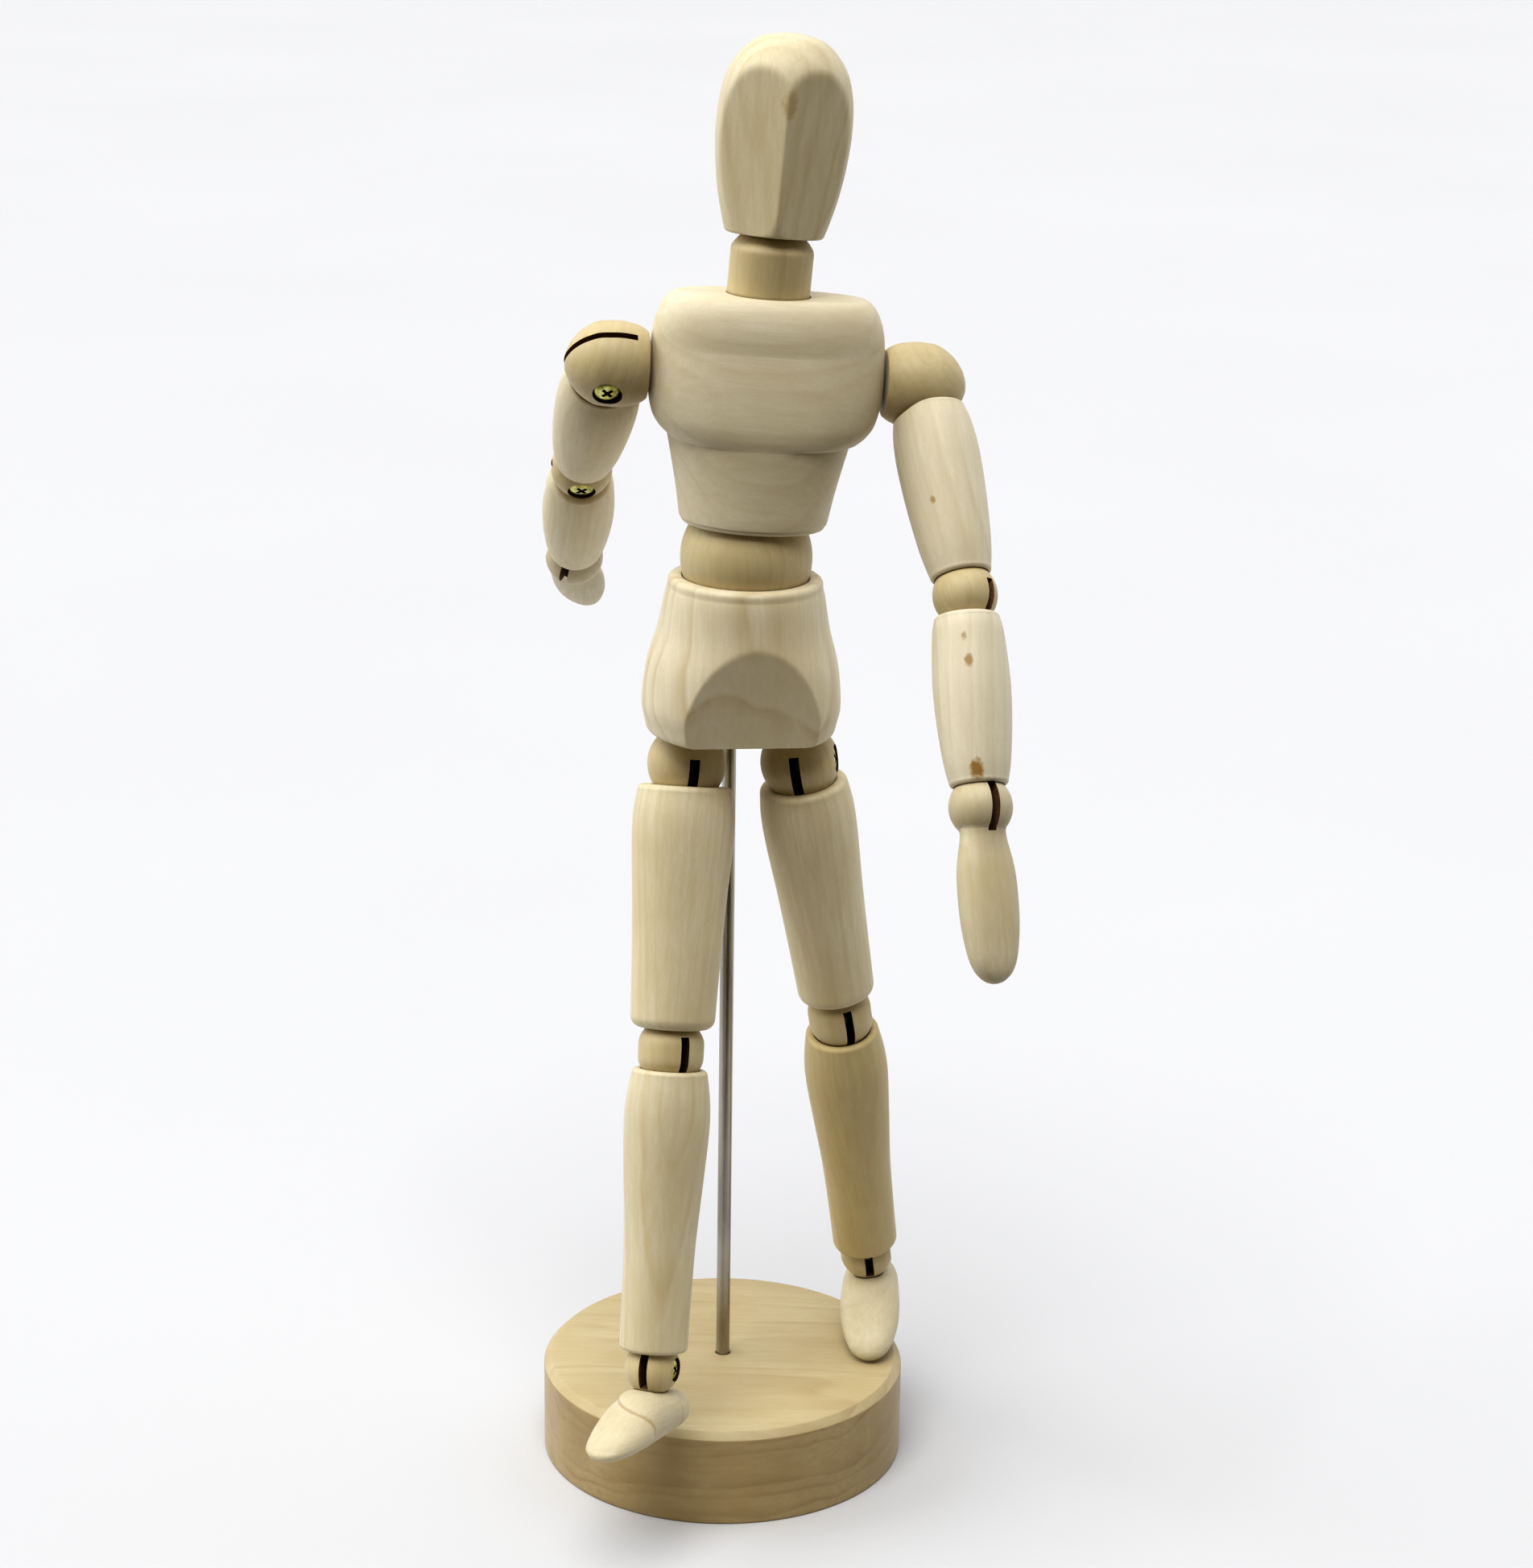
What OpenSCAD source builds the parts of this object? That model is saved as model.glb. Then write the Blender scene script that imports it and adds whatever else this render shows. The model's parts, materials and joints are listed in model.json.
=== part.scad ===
// Jointed wooden artist mannequin on a round base.
// Turned hardwood limbs meet at slotted balls. Each ball swivels in the limb above it, and a
// steel tongue from the next limb hinges on a cross screw in the ball's slot.
// Frame: millimetres, +Z up, origin at the centre of the base's underside. The figure faces -Y,
// so its own right side is at -X. Paired values are written [right, left].

/* [Base and rod] */
// Diameter of the round base
base_d = 80; // [70:1:95]
// Height of the base
base_h = 21.4; // [16:0.1:26]
// Chamfer round the base's top edge
base_chamfer = 1.6; // [0.5:0.1:3]
// Diameter of the steel stand rod
rod_d = 3; // [2.5:0.1:3.5]
// Height of the hip centres above the underside of the base
hip_height = 163.5; // [160:0.1:175]
// Distance of the rod behind the middle of the pelvis
rod_offset = 12.5; // [11:0.1:14]

/* [Trunk] */
// Height of the waist ball above the hip centres
waist_rise = 44.3; // [42:0.1:47]
// Height of the neck ball above the waist ball
neck_rise = 58.8; // [57:0.1:61]
// Height of the shoulder centres above the waist ball
shoulder_rise = 38.5; // [36:0.1:41]
// Distance of each shoulder centre from the middle of the chest
shoulder_x = 32.6; // [32.6:0.1:35]
// Distance of each hip centre from the middle of the hips
hip_x = 12; // [11.8:0.05:13]

/* [Limbs] */
// Shoulder centre to elbow centre
upper_arm_len = 46; // [44:0.1:50]
// Elbow centre to wrist centre
forearm_len = 43.4; // [43:0.1:48]
// Hip centre to knee centre
thigh_len = 60.3; // [59:0.1:66]
// Knee centre to ankle centre
calf_len = 66.8; // [65:0.1:72]

/* [Balls] */
// Radius of the waist ball
waist_r = 13.65; // [13:0.05:14]
// Radius of the neck ball, whose sides are turned straight
neck_r = 9.6; // [9.2:0.05:9.8]
// Radius of the shoulder knobs
shoulder_r = 8.7; // [8.4:0.05:9]
// Radius of the elbow balls
elbow_r = 6.6; // [6.3:0.05:6.8]
// Radius of the wrist balls
wrist_r = 6.45; // [6.2:0.05:6.6]
// Radius of the hip balls
hip_r = 8.3; // [8:0.05:8.6]
// Radius of the knee balls
knee_r = 7.2; // [7:0.05:7.4]
// Radius of the ankle balls
ankle_r = 5.85; // [5.5:0.05:5.95]
// Gap between a ball and the socket it turns in
socket_gap = 0.25; // [0.2:0.05:0.4]

/* [Pose of the trunk] */
// Turn of the figure on its base, towards its left
figure_yaw = 10; // [-30:1:30]
// Lean of the pelvis on the rod
pelvis_lean = 1.4; // [-2:0.1:2]
// Turn of the chest on the waist ball
waist_yaw = -3; // [-15:1:15]
// Sideways lean of the chest
waist_lean = 2.1; // [-8:0.1:8]
// Forward bend of the chest
waist_bend = -1.5; // [-6:0.5:6]
// Turn of the head
neck_yaw = -5; // [-30:1:30]
// Sideways lean of the head
neck_lean = 1.5; // [-8:0.5:8]
// Nod of the head
head_nod = -2.5; // [-8:0.5:8]

/* [Pose of the arms] */
// Swing of each arm, backwards positive
arm_swing = [40, -33]; // [-90:1:90]
// How far back each arm is set on its tongue
arm_set = [12, 0]; // [-12:1:12]
// Raise of each arm away from the body
arm_raise = [1, 9.5]; // [0:0.5:40]
// Swivel of each elbow ball
elbow_turn = [-90, 43]; // [-180:1:180]
// Bend of each elbow
elbow_bend = [4, 8]; // [-30:1:30]
// Swivel of each wrist tongue
wrist_turn = [-113, -26]; // [-180:1:180]
// Bend of each wrist
wrist_bend = [-12, -1]; // [-20:1:20]

/* [Pose of the legs] */
// Swivel of each hip ball
hip_turn = [2, -17]; // [-30:1:30]
// Spread of each leg away from the body
hip_spread = [4.4, 9.9]; // [0:0.1:12]
// Swing of each leg, backwards positive
hip_swing = [-15, 7.5]; // [-30:0.5:30]
// Swivel of each knee ball
knee_turn = [14, 23]; // [-45:1:45]
// Bend of each knee
knee_bend = [0.5, 9.5]; // [0:0.5:30]
// Swivel of each ankle tongue
ankle_turn = [-46, -12]; // [-90:1:90]
// Bend of each ankle
ankle_bend = [8, -4.6]; // [-15:1:15]
// Turn of each foot on its ball
foot_turn = [-9, -8]; // [-45:1:45]

/* [Hidden] */

right = -1;
left = 1;
wood = "BlanchedAlmond";
ball_wood = "Wheat";
base_wood = "BurlyWood";
steel = "Silver";
brass = "DarkKhaki";
far = 30;                // reach of a cutting solid that only has to pass right through
lathe_fn = 64;           // steps round a turned piece
running_gap = 0.05;      // radial clearance of a pin that turns in its hole

pelvis_floor = 7.2;      // underside of the pelvis above the hip centres
pelvis_top = waist_rise - 4;
pelvis_foot = 19.4;      // radius of the pelvis at its underside
facet_low = 14.2;        // front flat's distance from the axis at the underside
facet_tilt = 10.2;       // degrees that the flat leans out towards its top
neck_shift = 0.8;        // the neck and the chest sit a little to the left of the waist ball
chest_shift = 1.4;
shoulder_drop = [0, 1.2];    // the left shoulder is a little lower
hip_shift = 1;           // and the hips to its left of the pelvis block's middle
torso_floor = 7;         // underside of the torso above the waist ball's centre
torso_top = neck_rise - 4.6;
chest_w = 23.9;          // half width and half depth of the chest below its rounded top
chest_d = 13.3;
chest_brow = 43.5;       // where the rounding of the chest's top begins
head_floor = 7.3;        // flat under the chin above the neck ball's centre
head_top = 47.4;
face_ridge = 10.6;       // distance of the face's ridge from the axis at the chin
face_turn = 30;          // half angle between the two flats of the face
face_tilt = 5;           // degrees that the flats lean out towards the brow
edge = 1.1;              // rounding of the rims of turned pieces
soft_edge = 2.6;         // rounding of the lower rims of the thighs
neck_barrel = 0.88;      // width of a ball with straight sides, as a part of its full width
knee_barrel = 0.96;
rod_r = rod_d / 2;
rod_depth = 18;          // rod inside the pelvis
rod_bottom = 4;
stud_r = 2;              // waist and neck studs, with round heads at the balls' centres
stud_head_r = 3;
waist_stud_len = 26;
neck_stud_len = 20;
trunk_free = 12;         // degrees the waist and neck balls can lean on their studs
spring_wire = 0.5;       // springs behind the waist and neck balls
spring_len = 6;
hip_stud_r = 1.3;        // hip studs
hip_stud_low = 4.8;
hip_stud_top = 20;
hip_spread_free = 13;    // degrees the hip balls can lean on their studs
hip_flare = 4.2;         // the hip ball's flared hole begins this far above its centre
pin_r = 1.5;             // cross screws and their heads, sunk a little in the balls
head_t = 1.5;
head_sunk = 0.1;
peg_r = 2;               // pegs that balls swivel on
peg_len = 9;
tongue_t = 1.3;
shoulder_tongue_t = 0.9;
tongue_root = 14;        // length of a tongue below its screw
shoulder_slot = 1.4;     // widths of the saw slots
hip_slot = 2.1;
limb_slot = 1.8;
knob_flat_r = 6.6;       // the shoulder knob's flat, against the chest
knob_flat_x = 8.3;
foot_peg_r = 1.5;        // peg that the foot turns on
thigh_girth = [1, 0.93]; // the left thigh is turned a little thinner

// ---- rigid moves, as matrices ----
function move(v) = [[1, 0, 0, v.x], [0, 1, 0, v.y], [0, 0, 1, v.z], [0, 0, 0, 1]];
function turn_x(a) = [[1, 0, 0, 0], [0, cos(a), -sin(a), 0], [0, sin(a), cos(a), 0], [0, 0, 0, 1]];
function turn_y(a) = [[cos(a), 0, sin(a), 0], [0, 1, 0, 0], [-sin(a), 0, cos(a), 0], [0, 0, 0, 1]];
function turn_z(a) = [[cos(a), -sin(a), 0, 0], [sin(a), cos(a), 0, 0], [0, 0, 1, 0], [0, 0, 0, 1]];
function of_side(s, pair) = s == right ? pair[0] : pair[1];

// ---- where each moving piece stands ----
pelvis_at = move([0, 0, hip_height]) * turn_z(figure_yaw) * move([0, -rod_offset, 0])
    * turn_y(pelvis_lean);
waist_turned = pelvis_at * move([0, 0, waist_rise]) * turn_z(waist_yaw);
waist_leaned = waist_turned * turn_y(waist_lean);
torso_at = waist_leaned * turn_x(waist_bend);
neck_turned = torso_at * move([neck_shift, 0, neck_rise]) * turn_z(neck_yaw);
neck_leaned = neck_turned * turn_y(neck_lean);
head_at = neck_leaned * turn_x(head_nod);

function shoulder_place(s) = [chest_shift + s * shoulder_x, 0, shoulder_rise - of_side(s, shoulder_drop)];
function shoulder_at(s) = torso_at * move(shoulder_place(s)) * turn_x(of_side(s, arm_swing));
function raised_at(s) = shoulder_at(s) * turn_y(-s * of_side(s, arm_raise));
function upper_arm_at(s) = raised_at(s) * turn_x(of_side(s, arm_set));
function elbow_at(s) =
    upper_arm_at(s) * move([0, 0, -upper_arm_len]) * turn_z(of_side(s, elbow_turn));
function forearm_at(s) = elbow_at(s) * turn_x(of_side(s, elbow_bend));
function wrist_at(s) =
    forearm_at(s) * move([0, 0, -forearm_len]) * turn_z(of_side(s, wrist_turn));
function hand_at(s) = wrist_at(s) * turn_x(of_side(s, wrist_bend));
function hip_turned(s) = pelvis_at * move([hip_shift + s * hip_x, 0, 0]) * turn_z(of_side(s, hip_turn));
function hip_at(s) = hip_turned(s) * turn_y(-s * of_side(s, hip_spread));
function thigh_at(s) = hip_at(s) * turn_x(of_side(s, hip_swing));
function knee_at(s) = thigh_at(s) * move([0, 0, -thigh_len]) * turn_z(of_side(s, knee_turn));
function calf_at(s) = knee_at(s) * turn_x(of_side(s, knee_bend));
function ankle_turned(s) =
    calf_at(s) * move([0, 0, -calf_len]) * turn_z(of_side(s, ankle_turn));
function ankle_at(s) = ankle_turned(s) * turn_x(of_side(s, ankle_bend));
function foot_at(s) = ankle_at(s) * turn_z(of_side(s, foot_turn));
// The shoulder knob lies on its side: its peg points at the chest and its slot points outwards.
// The two knobs are the same piece turned half round, so the left screw's head is at the back.
function knob_lay(s) = [[0, 0, -s, 0], [s, 0, 0, 0], [0, -1, 0, 0], [0, 0, 0, 1]];

// ---- outlines and solids that repeat ----
function between(a, b, c, d, t) =
    ((2 * b) + (c - a) * t + (2 * a - 5 * b + 4 * c - d) * t * t
        + (3 * b - a - 3 * c + d) * t * t * t) / 2;
// A smooth curve through the points p
function spline(p, steps = 5) = let (last = len(p) - 1) concat(
    [for (i = [0 : last - 1], k = [0 : steps - 1])
        between(p[max(i - 1, 0)], p[i], p[i + 1], p[min(i + 2, last)], k / steps)],
    [p[last]]);
// A quarter round of radius e at the corner [r, z] of a turned piece, top or bottom
function top_corner(r, z, e) = [for (a = [90 : -22.5 : 0]) [r - e + e * cos(a), z - e + e * sin(a)]];
function bottom_corner(r, z, e) = [for (a = [0 : -22.5 : -90]) [r - e + e * cos(a), z + e + e * sin(a)]];
// Outline of a turned limb from its top rim down to its bottom rim
function limb_outline(r_top, z_top, belly, r_bottom, z_bottom, foot_edge = edge) = concat(
    [[0, z_top]], top_corner(r_top, z_top, edge),
    spline(concat([[r_top, z_top - edge]], belly, [[r_bottom, z_bottom + foot_edge]])),
    bottom_corner(r_bottom, z_bottom, foot_edge), [[0, z_bottom]]);
// One rounded-rectangle section of half-size a by b, centred on c
function ring(a, b, c, power, count = 28) = [for (i = [0 : count - 1])
    let (t = 360 * i / count, x = cos(t), y = sin(t))
    [c.x + a * sign(x) * pow(abs(x), 2 / power), c.y + b * sign(y) * pow(abs(y), 2 / power), c.z]];

module lathe(outline) rotate_extrude($fn = lathe_fn) polygon(outline);
module ball(r) sphere(r = r, $fn = lathe_fn);
module barrel_ball(r, barrel) intersection() {
    ball(r);
    rod(r * barrel, -far, far);
}
module rod(r, z0, z1) translate([0, 0, z0]) cylinder(r = r, h = z1 - z0, $fn = lathe_fn);
module across(r, x0, x1) rotate([0, 90, 0]) rod(r, x0, x1);
module block(size, top) translate([0, 0, top - size.z / 2]) cube(size, center = true);
// A smooth solid through a stack of sections
module loft(rings) {
    n = len(rings[0]);
    last = len(rings) - 1;
    polyhedron(
        points = [for (r = rings) each r],
        faces = concat(
            [[for (i = [0 : n - 1]) i], [for (i = [n - 1 : -1 : 0]) last * n + i]],
            [for (j = [0 : last - 1], i = [0 : n - 1]) let (k = (i + 1) % n)
                [j * n + i, (j + 1) * n + i, (j + 1) * n + k, j * n + k]]));
}
// Coil spring of round wire about Z
module spring(coil_r, z0, z1, turns, wire_r) {
    sides = 6;
    steps = 12 * turns;
    points = [for (i = [0 : steps], k = [0 : sides - 1])
        let (a = 360 * turns * i / steps, b = 360 * k / sides, r = coil_r + wire_r * cos(b))
        [r * cos(a), r * sin(a), z0 + (z1 - z0) * i / steps + wire_r * sin(b)]];
    polyhedron(points = points, faces = concat(
        [[for (k = [0 : sides - 1]) k], [for (k = [sides - 1 : -1 : 0]) steps * sides + k]],
        [for (i = [0 : steps - 1], k = [0 : sides - 1]) let (m = (k + 1) % sides)
            [i * sides + k, (i + 1) * sides + k, (i + 1) * sides + m, i * sides + m]]));
}

// ---- the slotted ball, its screw and its tongue ----
// The slot opens downwards and is square to X; the screw lies along X with its head at +X.
function head_radius(r) = r < 6 ? 2.3 : 2.8;
function head_seat(r) = sqrt(r * r - pow(head_radius(r) + 0.2, 2)) - head_sunk - head_t;
module slot_cuts(r, slot_w, slot_top) {
    translate([0, 0, slot_top - far / 2]) cube([slot_w, 2 * far, far], center = true);
    across(eye_radius(r) + 0.4, -slot_w / 2, slot_w / 2);
    across(pin_r, -r * 0.8, far);
    across(head_radius(r) + 0.2, head_seat(r), far);
}
function eye_radius(r) = r < 6 ? 2.4 : 2.8;
module slotted_ball(r, slot_w, slot_top, barrel = 1) color(ball_wood) {
    difference() {
        barrel_ball(r, barrel);
        slot_cuts(r, slot_w, slot_top);
    }
    rod(peg_r, r - 0.6, r + peg_len);
}
module cross_screw(r) color(brass) difference() {
    union() {
        across(pin_r, -r * 0.8, head_seat(r) + head_t / 2);
        across(head_radius(r), head_seat(r), head_seat(r) + head_t);
    }
    for (a = [0, 90]) rotate([a, 0, 0])
        translate([head_seat(r) + head_t, 0, 0]) cube([1.8, 0.6, 2.8], center = true);
}
// The tongue's eye is on the screw; its shank runs down into the next limb
module tongue(r, t = tongue_t) color(steel) difference() {
    union() {
        across(eye_radius(r), -t / 2, t / 2);
        block(tongue_shank(r, t), 0);
    }
    across(pin_r + running_gap, -far, far);
}
function tongue_shank(r, t) = [t, 1.6 * eye_radius(r), tongue_root];
// A tongue on a round pin, so that it swivels in the end of the limb above
module swivel_tongue(r) color(steel) difference() {
    union() {
        across(eye_radius(r), -tongue_t / 2, tongue_t / 2);
        block([tongue_t, 1.8 * peg_r, r + 1], r + 1);
        rod(peg_r, r + 1, r + peg_len);
    }
    across(pin_r + running_gap, -far, far);
}
// What every limb is cut by: the ball above with the tongue's root, and the ball below with its pin
module cut_top_joint(r, t = tongue_t) {
    ball(r + socket_gap);
    block(tongue_shank(r, t), 0);
}
module cut_bottom_joint(r, length) translate([0, 0, -length]) {
    ball(r + socket_gap);
    rod(peg_r + running_gap, 0, r + peg_len + 0.5);
}

// ---- stand ----
module base() color(base_wood) difference() {
    lathe([[0, 0], [base_d / 2 - 0.5, 0], [base_d / 2, 0.5], [base_d / 2, base_h - base_chamfer],
        [base_d / 2 - base_chamfer, base_h], [0, base_h]]);
    rod(rod_r + running_gap, rod_bottom, base_h + 1);
}
module stand_rod() color(steel) rod(rod_r, rod_bottom, hip_height + pelvis_floor + rod_depth);

// ---- trunk ----
pelvis_side = spline([[pelvis_foot, pelvis_floor + edge], [20.8, 14], [19.9, 22], [17.9, 29.5],
    [16.6, 36], [16, pelvis_top - edge]]);
pelvis_outline = concat([[0, pelvis_floor]], [for (a = [-90 : 22.5 : 0])
    [pelvis_foot - edge + edge * cos(a), pelvis_floor + edge + edge * sin(a)]],
    pelvis_side, [[15.4, pelvis_top], [0, pelvis_top]]);
module pelvis() color(wood) multmatrix(pelvis_at) difference() {
    lathe(pelvis_outline);
    for (face = [0, 180]) rotate([0, 0, face]) translate([0, -facet_low, pelvis_floor])
        rotate([facet_tilt, 0, 0]) translate([0, -far / 2, 0]) cube([2 * far, far, 2 * far], center = true);
    for (s = [right, left]) translate([hip_shift + s * hip_x, 0, 0]) {
        ball(hip_r + socket_gap);
        rod(hip_stud_r + running_gap, 0, hip_stud_top + 0.5);
    }
    translate([0, 0, waist_rise]) {
        ball(waist_r + socket_gap);
        rod(stud_r + running_gap, -waist_stud_len - 0.5, 0);
        rod(stud_r + 2.2, -waist_r - spring_len, 0);
    }
    translate([0, rod_offset, 0]) rotate([0, -pelvis_lean, 0])
        rod(rod_r + running_gap, 0, pelvis_floor + rod_depth + 16);
}
// Stud with a round head at the ball's centre, going down through the ball's flared hole
module trunk_stud(length) color(steel) {
    ball(stud_head_r);
    rod(stud_r, -length, 0);
}
// A ball on a stud's round head: the hole below flares so that the ball can lean
module hollow_ball(r, barrel = 1) color(ball_wood) difference() {
    barrel_ball(r, barrel);
    ball(stud_head_r + 0.15);
    rotate_extrude($fn = lathe_fn) polygon([[0, 0], [stud_r + 0.4, 0],
        [stud_r + 0.4 + far * tan(trunk_free), -far], [0, -far]]);
}
module waist_stud() multmatrix(waist_turned) trunk_stud(waist_stud_len);
module waist_spring() color(steel) multmatrix(pelvis_at)
    translate([0, 0, waist_rise - waist_r]) spring(stud_r + 1, -spring_len + 0.8, -1.6, 2, spring_wire);
module waist_ball() multmatrix(waist_leaned) hollow_ball(waist_r);

torso_rings = concat(
    [for (p = spline([[14.9, 13.8, torso_floor], [15.4, 14.2, 9], [16.3, 14.4, 14], [17.4, 14.6, 19],
        [18.7, 14.8, 24.4]], 2)) ring(p[0], p[1], [neck_shift, 0, p[2]], 2.1)],
    [for (p = spline([[20.4, 15.2, 25.6], [22.5, 15.4, 28], [23.7, 15.3, 32.5],
        [24, 14.4, 38], [chest_w, chest_d, chest_brow]], 2))
        ring(p[0], p[1], [chest_shift, 0, p[2]], 2.6)],
    [for (a = [30, 60, 90]) ring(chest_w - 5 * (1 - cos(a)), chest_d - 4.5 * (1 - cos(a)),
        [chest_shift, 0, chest_brow + (torso_top - chest_brow) * sin(a)], 2.6)]);
module torso() color(wood) multmatrix(torso_at) difference() {
    loft(torso_rings);
    ball(waist_r + socket_gap);
    for (s = [right, left]) translate(shoulder_place(s))
        rotate([0, -s * 90, 0]) rod(peg_r + running_gap, 0, shoulder_r + peg_len + 0.5);
    translate([neck_shift, 0, neck_rise]) {
        ball(neck_r + socket_gap);
        rod(stud_r + running_gap, -neck_stud_len - 0.5, 0);
        rod(stud_r + 1.8, -neck_r - spring_len, 0);
    }
}
module neck_stud() multmatrix(neck_turned) trunk_stud(neck_stud_len);
module neck_spring() color(steel) multmatrix(torso_at)
    translate([neck_shift, 0, neck_rise - neck_r])
        spring(stud_r + 0.9, -spring_len + 0.8, -1.2, 2, spring_wire);
module neck_ball() multmatrix(neck_leaned) hollow_ball(neck_r, neck_barrel);

head_side = spline([[9.4, head_floor], [10.3, head_floor + 0.7], [10.9, 10.4], [12.3, 16], [13.3, 22.5],
    [13.7, 29], [13.2, 35.7], [11.3, 41.3], [7.4, 45.6], [3.2, 47.1]]);
module head() color(wood) multmatrix(head_at) difference() {
    lathe(concat([[0, head_floor]], head_side, [[0, head_top]]));
    for (s = [right, left]) translate([0, -face_ridge, head_floor]) rotate([face_tilt, 0, 0])
        rotate([0, 0, s * face_turn]) translate([0, -far / 2, 0]) cube([2 * far, far, 4 * far], center = true);
    ball(neck_r + socket_gap);
}

// ---- arms ----
// Outline of the knob from its outer end to its flat, grown by a gap for the hollow it turns in
function knob_outline(gap = 0) = let (r = shoulder_r + gap) concat([[0, -8.6]],
    spline([[2.1, -8.25], [4.2, -7.25], [6.1, -5.7], [7.4, -4], [8.4, -2], [r, 0.6], [r + 0.05, 2.2],
        [r - 0.15, 4], [r - 0.65, 6.1], [r - 1.4, 7.6], [knob_flat_r + gap, knob_flat_x + gap]], 3),
    [[0, knob_flat_x + gap]]);
module shoulder_ball(s) color(ball_wood) multmatrix(shoulder_at(s) * knob_lay(s)) {
    difference() {
        lathe(knob_outline());
        slot_cuts(shoulder_r, shoulder_slot, 5.6);
    }
    rod(peg_r, knob_flat_x - 0.5, shoulder_r + peg_len);
}
module shoulder_screw(s) multmatrix(shoulder_at(s) * knob_lay(s)) cross_screw(shoulder_r);
module upper_arm(s) color(wood) multmatrix(upper_arm_at(s)) difference() {
    lathe(limb_outline(7.4, -5.4, [[8.2, -10], [8.6, -16], [8.3, -25], [7.4, -35]],
        6.3, -upper_arm_len + 3.9));
    rotate([-of_side(s, arm_set), 0, 0]) rotate([0, 0, 90]) cut_top_joint(shoulder_r, shoulder_tongue_t);
    multmatrix(knob_lay(s)) lathe(knob_outline(socket_gap));
    cut_bottom_joint(elbow_r, upper_arm_len);
}
module upper_arm_tongue(s) multmatrix(raised_at(s)) rotate([0, 0, 90])
    tongue(shoulder_r, shoulder_tongue_t);
module elbow_ball(s) multmatrix(elbow_at(s)) slotted_ball(elbow_r, limb_slot, 1.5);
module elbow_screw(s) multmatrix(elbow_at(s)) cross_screw(elbow_r);
module forearm(s) color(wood) multmatrix(forearm_at(s)) difference() {
    lathe(limb_outline(6.7, -4.2, [[7.3, -8.5], [7.85, -18], [7.6, -26], [6.8, -34]],
        6, -forearm_len + 4.2));
    cut_top_joint(elbow_r);
    cut_bottom_joint(wrist_r, forearm_len);
}
module forearm_tongue(s) multmatrix(forearm_at(s)) tongue(elbow_r);
module wrist_tongue(s) multmatrix(wrist_at(s)) swivel_tongue(wrist_r);
hand_rings = [for (p = spline([[1.2, 1, -35.5], [3.1, 2.4, -34], [5, 3.4, -30], [6.1, 4, -24],
    [6.3, 4.2, -18], [6.1, 3.9, -12], [5, 3.4, -6.5], [4.4, 3.2, -3.6]], 2))
    ring(p[0], p[1], [0, 0, p[2]], 2.2, 20)];
module hand(s) color(wood) multmatrix(hand_at(s)) difference() {
    union() {
        ball(wrist_r);
        loft(hand_rings);
    }
    mirror([0, 0, 1]) slot_cuts(wrist_r, limb_slot, 5.5);
}
module wrist_screw(s) multmatrix(hand_at(s)) cross_screw(wrist_r);

// ---- legs ----
module hip_stud(s) color(steel) multmatrix(hip_turned(s)) rod(hip_stud_r, hip_stud_low, hip_stud_top);
function hip_flare_r(z) = hip_stud_r + 0.2 + z * tan(hip_spread_free);
module hip_ball(s) color(ball_wood) multmatrix(hip_at(s)) difference() {
    ball(hip_r);
    slot_cuts(hip_r, hip_slot, 3);
    rotate_extrude($fn = lathe_fn) polygon([[0, hip_flare], [hip_flare_r(hip_flare), hip_flare],
        [hip_flare_r(far), far], [0, far]]);
}
module hip_screw(s) multmatrix(hip_at(s)) cross_screw(hip_r);
module thigh(s) color(wood) multmatrix(thigh_at(s)) difference() {
    lathe([for (p = limb_outline(10.1, -4.7, [[10.7, -11], [10.6, -18], [9.9, -29], [9.3, -42]],
        8.9, -thigh_len + 4.7, soft_edge)) [p[0] * of_side(s, thigh_girth), p[1]]]);
    cut_top_joint(hip_r);
    cut_bottom_joint(knee_r, thigh_len);
}
module thigh_tongue(s) multmatrix(thigh_at(s)) tongue(hip_r);
module knee_ball(s) multmatrix(knee_at(s)) slotted_ball(knee_r, limb_slot, 3.4, knee_barrel);
module knee_screw(s) multmatrix(knee_at(s)) cross_screw(knee_r);
module calf(s) color(wood) multmatrix(calf_at(s)) difference() {
    lathe(limb_outline(8.0, -3.9, [[8.8, -10], [9.05, -16], [8.5, -26], [7.6, -40], [7.3, -52]],
        7.2, -calf_len + 3.6));
    cut_top_joint(knee_r);
    cut_bottom_joint(ankle_r, calf_len);
}
module calf_tongue(s) multmatrix(calf_at(s)) tongue(knee_r);
module ankle_tongue(s) multmatrix(ankle_turned(s)) swivel_tongue(ankle_r);
module ankle_ball(s) color(ball_wood) multmatrix(ankle_at(s)) {
    difference() {
        ball(ankle_r);
        mirror([0, 0, 1]) slot_cuts(ankle_r, limb_slot, 3.4);
    }
    rod(foot_peg_r, -ankle_r - 5, -ankle_r + 0.4);
}
module ankle_screw(s) multmatrix(ankle_at(s)) cross_screw(ankle_r);
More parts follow.
